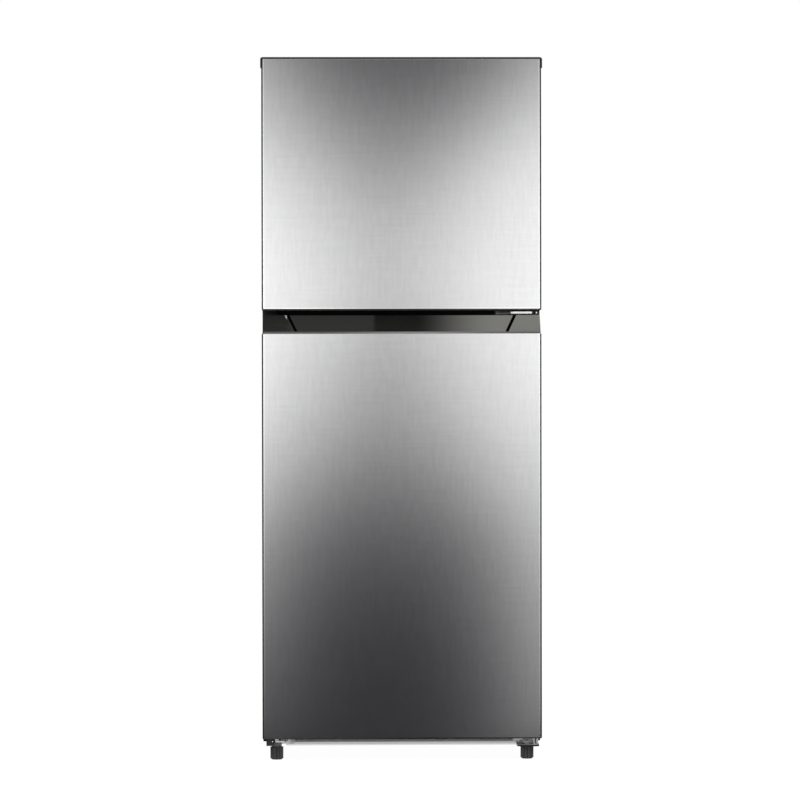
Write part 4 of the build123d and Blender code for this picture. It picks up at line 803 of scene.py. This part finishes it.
tubes_low, tubes_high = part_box("refrigerant_tubes")
MACHINE_FRONT, MACHINE_TOP = tubes_low[1], tubes_high[2]
STUB_X, SUCTION_X, DISCHARGE_X, DRIER_X = -0.148, -0.2, -0.24, 0.17
POT_Y, DISCHARGE_Y, DRIER_Y = MACHINE_FRONT + 0.092, MACHINE_FRONT + 0.056, MACHINE_FRONT + 0.062
SUCTION_Z, SUCTION_HIGH, DISCHARGE_Z = 0.14, 0.2, 0.092
DRIER_HIGH, DRIER_LOW, CAPILLARY_LOW = MACHINE_TOP - 0.039, MACHINE_TOP - 0.117, MACHINE_TOP - 0.155
TUBE, TUBE_BEND = 4.0 * MM, 16.0 * MM
DRIER = 9.0 * MM
CAPILLARY, CAPILLARY_BEND = 2.5 * MM, 12.0 * MM
suction = [
    (STUB_X, POT_Y, SUCTION_Z),
    (SUCTION_X, POT_Y, SUCTION_Z),
    (SUCTION_X, POT_Y, SUCTION_HIGH),
    (SUCTION_X, MACHINE_FRONT, SUCTION_HIGH),
]
discharge = [
    (STUB_X, DISCHARGE_Y, DISCHARGE_Z),
    (DISCHARGE_X, DISCHARGE_Y, DISCHARGE_Z),
    (DISCHARGE_X, DISCHARGE_Y, MACHINE_TOP),
]
drier = [(DRIER_X, DRIER_Y, DRIER_LOW), (DRIER_X, DRIER_Y, DRIER_HIGH)]
drier_tail = [(DRIER_X, DRIER_Y, DRIER_HIGH), (DRIER_X, DRIER_Y, MACHINE_TOP)]
capillary = [
    (DRIER_X, DRIER_Y, DRIER_LOW),
    (DRIER_X, DRIER_Y, CAPILLARY_LOW),
    (DRIER_X, MACHINE_FRONT, CAPILLARY_LOW),
]
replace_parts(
    swept(
        "copper_tubes", "cabinet", "copper",
        [
            (suction, TUBE, TUBE_BEND),
            (discharge, TUBE, TUBE_BEND),
            (drier, DRIER, TUBE_BEND),
            (drier_tail, TUBE, TUBE_BEND),
            (capillary, CAPILLARY, CAPILLARY_BEND),
        ],
    ),
    "refrigerant_tubes",
)


# Studio

WHITE, WARM = (1.0, 1.0, 1.0), (1.0, 0.99, 0.93)
NO_HAZE, COOL_HAZE = (0.0, 0.0, 0.0), (0.0, 0.0, 0.006)
CARD_FOOT = 1.0 * MM
CARD_HALF, CARD_TOP = 1.4, 2.2
CARD_Y = FRONT - 0.5
FLAG_NEAR, FLAG_X = 0.32, 0.9
FLAG_FRONT, FLAG_BACK = CARD_Y + 0.05, 1.4
FLAG_TOP = 2.0


def stage_sheet(name, corners, finish, polish_only=False):
    """A flat sheet of the studio. With polish_only, nothing but polished surfaces sees it."""
    mesh = bpy.data.meshes.new(name)
    mesh.from_pydata(corners, [], [(0, 1, 2, 3)])
    mesh.materials.append(finish)
    sheet = bpy.data.objects.new(name, mesh)
    bpy.context.scene.collection.objects.link(sheet)
    if polish_only:
        sheet.visible_camera = False
        sheet.visible_diffuse = False
        sheet.visible_transmission = False
        sheet.visible_shadow = False


def card(name, corners, shade, haze=NO_HAZE):
    """A card for polished surfaces. Shade gives its colour and light from the place on it in metres."""
    material, net = new_finish(name)
    colour, strength = shade(*object_axes(net))
    glow = net.node("ShaderNodeVectorMath", {"operation": "SCALE"}, {0: colour, "Scale": strength})
    glow = net.node("ShaderNodeVectorMath", {"operation": "ADD"}, {0: glow, 1: haze})
    close_finish(net, net.node("ShaderNodeEmission", None, {"Color": glow, "Strength": 1.0}))
    stage_sheet(name, corners, material, polish_only=True)


def upright_card(name, half, y, top, shade, haze=NO_HAZE):
    """A card that stands across the front, just off the floor."""
    card(name, [(-half, y, CARD_FOOT), (half, y, CARD_FOOT), (half, y, top), (-half, y, top)], shade, haze)


def level_card(name, half, y_span, height, shade):
    """A card that lies level."""
    near, far = y_span
    corners = [(-half, near, height), (half, near, height), (half, far, height), (-half, far, height)]
    card(name, corners, shade)


BRIGHT_LEVEL = 1.03
DOOR_REACH = 0.32
MIRROR_SHIFT = (0.009, -0.005)


def door_light(across, along, up):
    """Soft front light: brightest beside the handle, fading to the top, the floor and the middle."""
    across, up = across - MIRROR_SHIFT[0], up - MIRROR_SHIFT[1]
    # Light up the middle line and up the edges, with more on the right edge near the floor
    above = up.ramp(BRIGHT_LEVEL - 0.01, BRIGHT_LEVEL + 0.01)
    away = (abs(up - BRIGHT_LEVEL) / 0.6).least(1.0) ** 2.0
    middle = 0.043 + 0.712 * up.bell(BRIGHT_LEVEL, 0.415 - 0.035 * above) - 0.08 * up.bell(0.86, 0.1)
    right = (across / 0.6 + 0.5).most(0.0).least(1.0)
    bonus = 0.2 * (1.0 - up.ramp(0.1, 1.0)) - 0.05 * up.bell(BRIGHT_LEVEL, 0.12) + 0.08 * up.bell(1.38, 0.14)
    edge = 1.38 * up.bell(BRIGHT_LEVEL, 0.62 - 0.04 * above) + 0.02 + right * bonus
    # From the middle line out to an edge, in a steeper curve away from the bright level
    high = up.ramp(1.2, 1.55)
    out = abs(across / DOOR_REACH + 0.1 - 0.08 * high) / (0.83 + 0.23 * away)
    side = out.least(1.0) ** (1.0 + 1.6 * away + 0.5 * high)
    # More light past and above the doors, less at their top, small changes by the floor and the handle
    glow = 1.0 + 0.4 * abs(across).ramp(DOOR_REACH + 0.01, DOOR_REACH + 0.06) - 0.085 * up.ramp(1.25, 1.5)
    corner = 0.022 * (1.0 - across.ramp(-0.3, -0.22)) - 0.017 * across.bell(0.18, 0.07)
    low = corner * (1.0 - up.ramp(0.15, 0.5))
    crest = 0.07 * abs(across).bell(0.2, 0.05) * up.bell(BRIGHT_LEVEL, 0.09)
    return WHITE, (middle + (edge - middle) * side) * glow + low + crest + 1.6 * up.ramp(1.75, 1.85)


def flag_shade(across, along, up):
    """Almost no light, for the dark lines along the rolled corners of the doors."""
    return WHITE, 0.03


def band_light(across, along, up):
    """Strip of light over the handle band: dim on the left, darkest in the middle, bright on the right."""
    dim = 0.17 + 0.15 * across.ramp(-0.245, -0.235) - 0.22 * across.ramp(-0.062, -0.054)
    return WARM, dim + 2.1 * across.ramp(0.03, 0.21)


def hem_light(across, along, up):
    """Light for the lower hem of the freezer door: bright in front of it, dim behind it, then dark."""
    bright = 1.1 + 0.9 * abs(across).ramp(0.02, 0.24)
    dim = 0.1 * (1.0 - along.ramp(FRONT + 9.0 * MM, FRONT + 13.0 * MM))
    return WHITE, dim + bright * (1.0 - along.ramp(FRONT - 3.0 * MM, FRONT - 1.0 * MM))


def floor_shade(across, along, up):
    """Dim floor in front of the door, darkest close to its right half, and pale under it."""
    dim = 0.04 + 0.09 * across.ramp(0.0, 0.35) + 0.035 * abs(across).ramp(0.2, 0.32)
    close = along.ramp(FRONT - 60.0 * MM, FRONT - 10.0 * MM) * across.ramp(-0.1, 0.05)
    return WHITE, dim * (1.0 - 0.9 * close) + 0.6 * along.ramp(FRONT + 6.0 * MM, FRONT + 16.0 * MM)


def rail_light(across, along, up):
    """Low strip under the door: light near the floor for the rail, and higher up for the foot brackets."""
    rail = 0.05 + 0.62 * (1.0 - up.ramp(18.5 * MM, 35.5 * MM)) ** 1.2
    bracket = abs(across).ramp(0.236, 0.246) * (0.72 - 0.3 * across.ramp(0.0, 0.1))
    return WHITE, rail.most(bracket)


upright_card("front_card", CARD_HALF, CARD_Y, CARD_TOP, door_light, COOL_HAZE)
for side, hand in ((-1, "left"), (1, "right")):
    near, far = side * FLAG_NEAR, side * FLAG_X
    foot = [(far, FLAG_FRONT, CARD_FOOT), (far, FLAG_BACK, CARD_FOOT)]
    above = [(far, FLAG_BACK, FLAG_TOP), (far, FLAG_FRONT, FLAG_TOP)]
    beside = [(near, FLAG_BACK, CARD_FOOT), (near, FLAG_FRONT, CARD_FOOT)]
    card("side_flag_" + hand, foot + above, flag_shade)
    card("floor_flag_" + hand, foot + beside, flag_shade)
GAP_HALF, GAP_SPAN = 0.34, (FRONT - 17.0 * MM, FRONT + 52.0 * MM)
level_card("band_strip", GAP_HALF, GAP_SPAN, BAND_TOP + 0.6 * MM, band_light)
level_card("hem_strip", GAP_HALF, GAP_SPAN, BAND_TOP + 1.2 * MM, hem_light)
level_card("floor_flag", FLAG_X, (CARD_Y, FRONT + 60.0 * MM), 0.6 * MM, floor_shade)
RAIL_HALF, RAIL_STRIP_Y, RAIL_STRIP_TOP = 0.29, FRONT + 18.0 * MM, 44.0 * MM
upright_card("rail_strip", RAIL_HALF, RAIL_STRIP_Y, RAIL_STRIP_TOP, rail_light)


def seen_rays(net):
    """One for what the camera sees, also in polish and through glass, and nought for light on the object."""
    ray = net.node("ShaderNodeLightPath", None, None, "Is Camera Ray")
    return ray.most(ray.sibling("Is Glossy Ray")).most(ray.sibling("Is Transmission Ray"))


def floor_finish():
    """Pale floor: white to the camera, with the soft shadow of the object kept."""
    material, net = new_finish("studio_floor")
    pale = net.node("ShaderNodeBsdfDiffuse", None, {"Color": (0.8, 0.8, 0.8, 1.0)})
    white = net.node("ShaderNodeEmission", None, {"Color": (*WHITE, 1.0), "Strength": 1.06})
    close_finish(net, net.node("ShaderNodeMixShader", None, {0: seen_rays(net) * 0.9, 1: pale, 2: white}))
    return material


FLOOR = 7.0
floor_corners = [(-FLOOR, -FLOOR, 0), (FLOOR, -FLOOR, 0), (FLOOR, FLOOR, 0), (-FLOOR, FLOOR, 0)]
stage_sheet("floor", floor_corners, floor_finish())

world = bpy.data.worlds.new("studio")
world.use_nodes = True
world.node_tree.nodes.clear()
sky = Net(world.node_tree)
SOFT_LEVEL = 0.6
level = SOFT_LEVEL + (1.0 - SOFT_LEVEL) * seen_rays(sky)
light = sky.node("ShaderNodeBackground", None, {"Color": (*WHITE, 1.0), "Strength": level})
sky.node("ShaderNodeOutputWorld", None, {"Surface": light})
bpy.context.scene.world = world


LAMP_SIZE, LAMP_AIM = 1.6, Vector((0, 0, 0.8))


def soft_lamp(name, place, watts):
    """A large square lamp that points at the middle of the object."""
    lamp = bpy.data.lights.new(name, "AREA")
    lamp.size = LAMP_SIZE
    lamp.energy = watts
    holder = bpy.data.objects.new(name, lamp)
    holder.location = place
    holder.rotation_euler = (LAMP_AIM - Vector(place)).to_track_quat("-Z", "Y").to_euler()
    holder.visible_glossy = False
    bpy.context.scene.collection.objects.link(holder)


soft_lamp("front_left_lamp", (-2.2, -3.2, 2.6), 60.0)
soft_lamp("front_right_lamp", (2.6, -3.0, 2.4), 70.0)
soft_lamp("back_lamp", (0.5, 3.2, 2.8), 50.0)

CAMERA_GAP = 6.8
PIXEL = 2.125 * MM
IMAGE_PIXELS = 800
camera_data = bpy.data.cameras.new("camera")
camera_data.sensor_width = 36.0
camera_data.sensor_fit = "HORIZONTAL"
camera_data.lens = camera_data.sensor_width * CAMERA_GAP / (PIXEL * IMAGE_PIXELS)
camera = bpy.data.objects.new("camera", camera_data)
AIM = Vector((-0.0038, FRONT, 0.7688))
YAW, PITCH, ROLL = math.radians(1.0), math.radians(0.5), math.radians(0.1)
ahead = Vector((math.sin(YAW) * math.cos(PITCH), math.cos(YAW) * math.cos(PITCH), -math.sin(PITCH)))
camera.location = AIM - CAMERA_GAP * ahead
camera.rotation_euler = (math.pi / 2 - PITCH, ROLL, -YAW)
bpy.context.scene.collection.objects.link(camera)
bpy.context.scene.camera = camera
bpy.context.scene.view_settings.view_transform = "Standard"
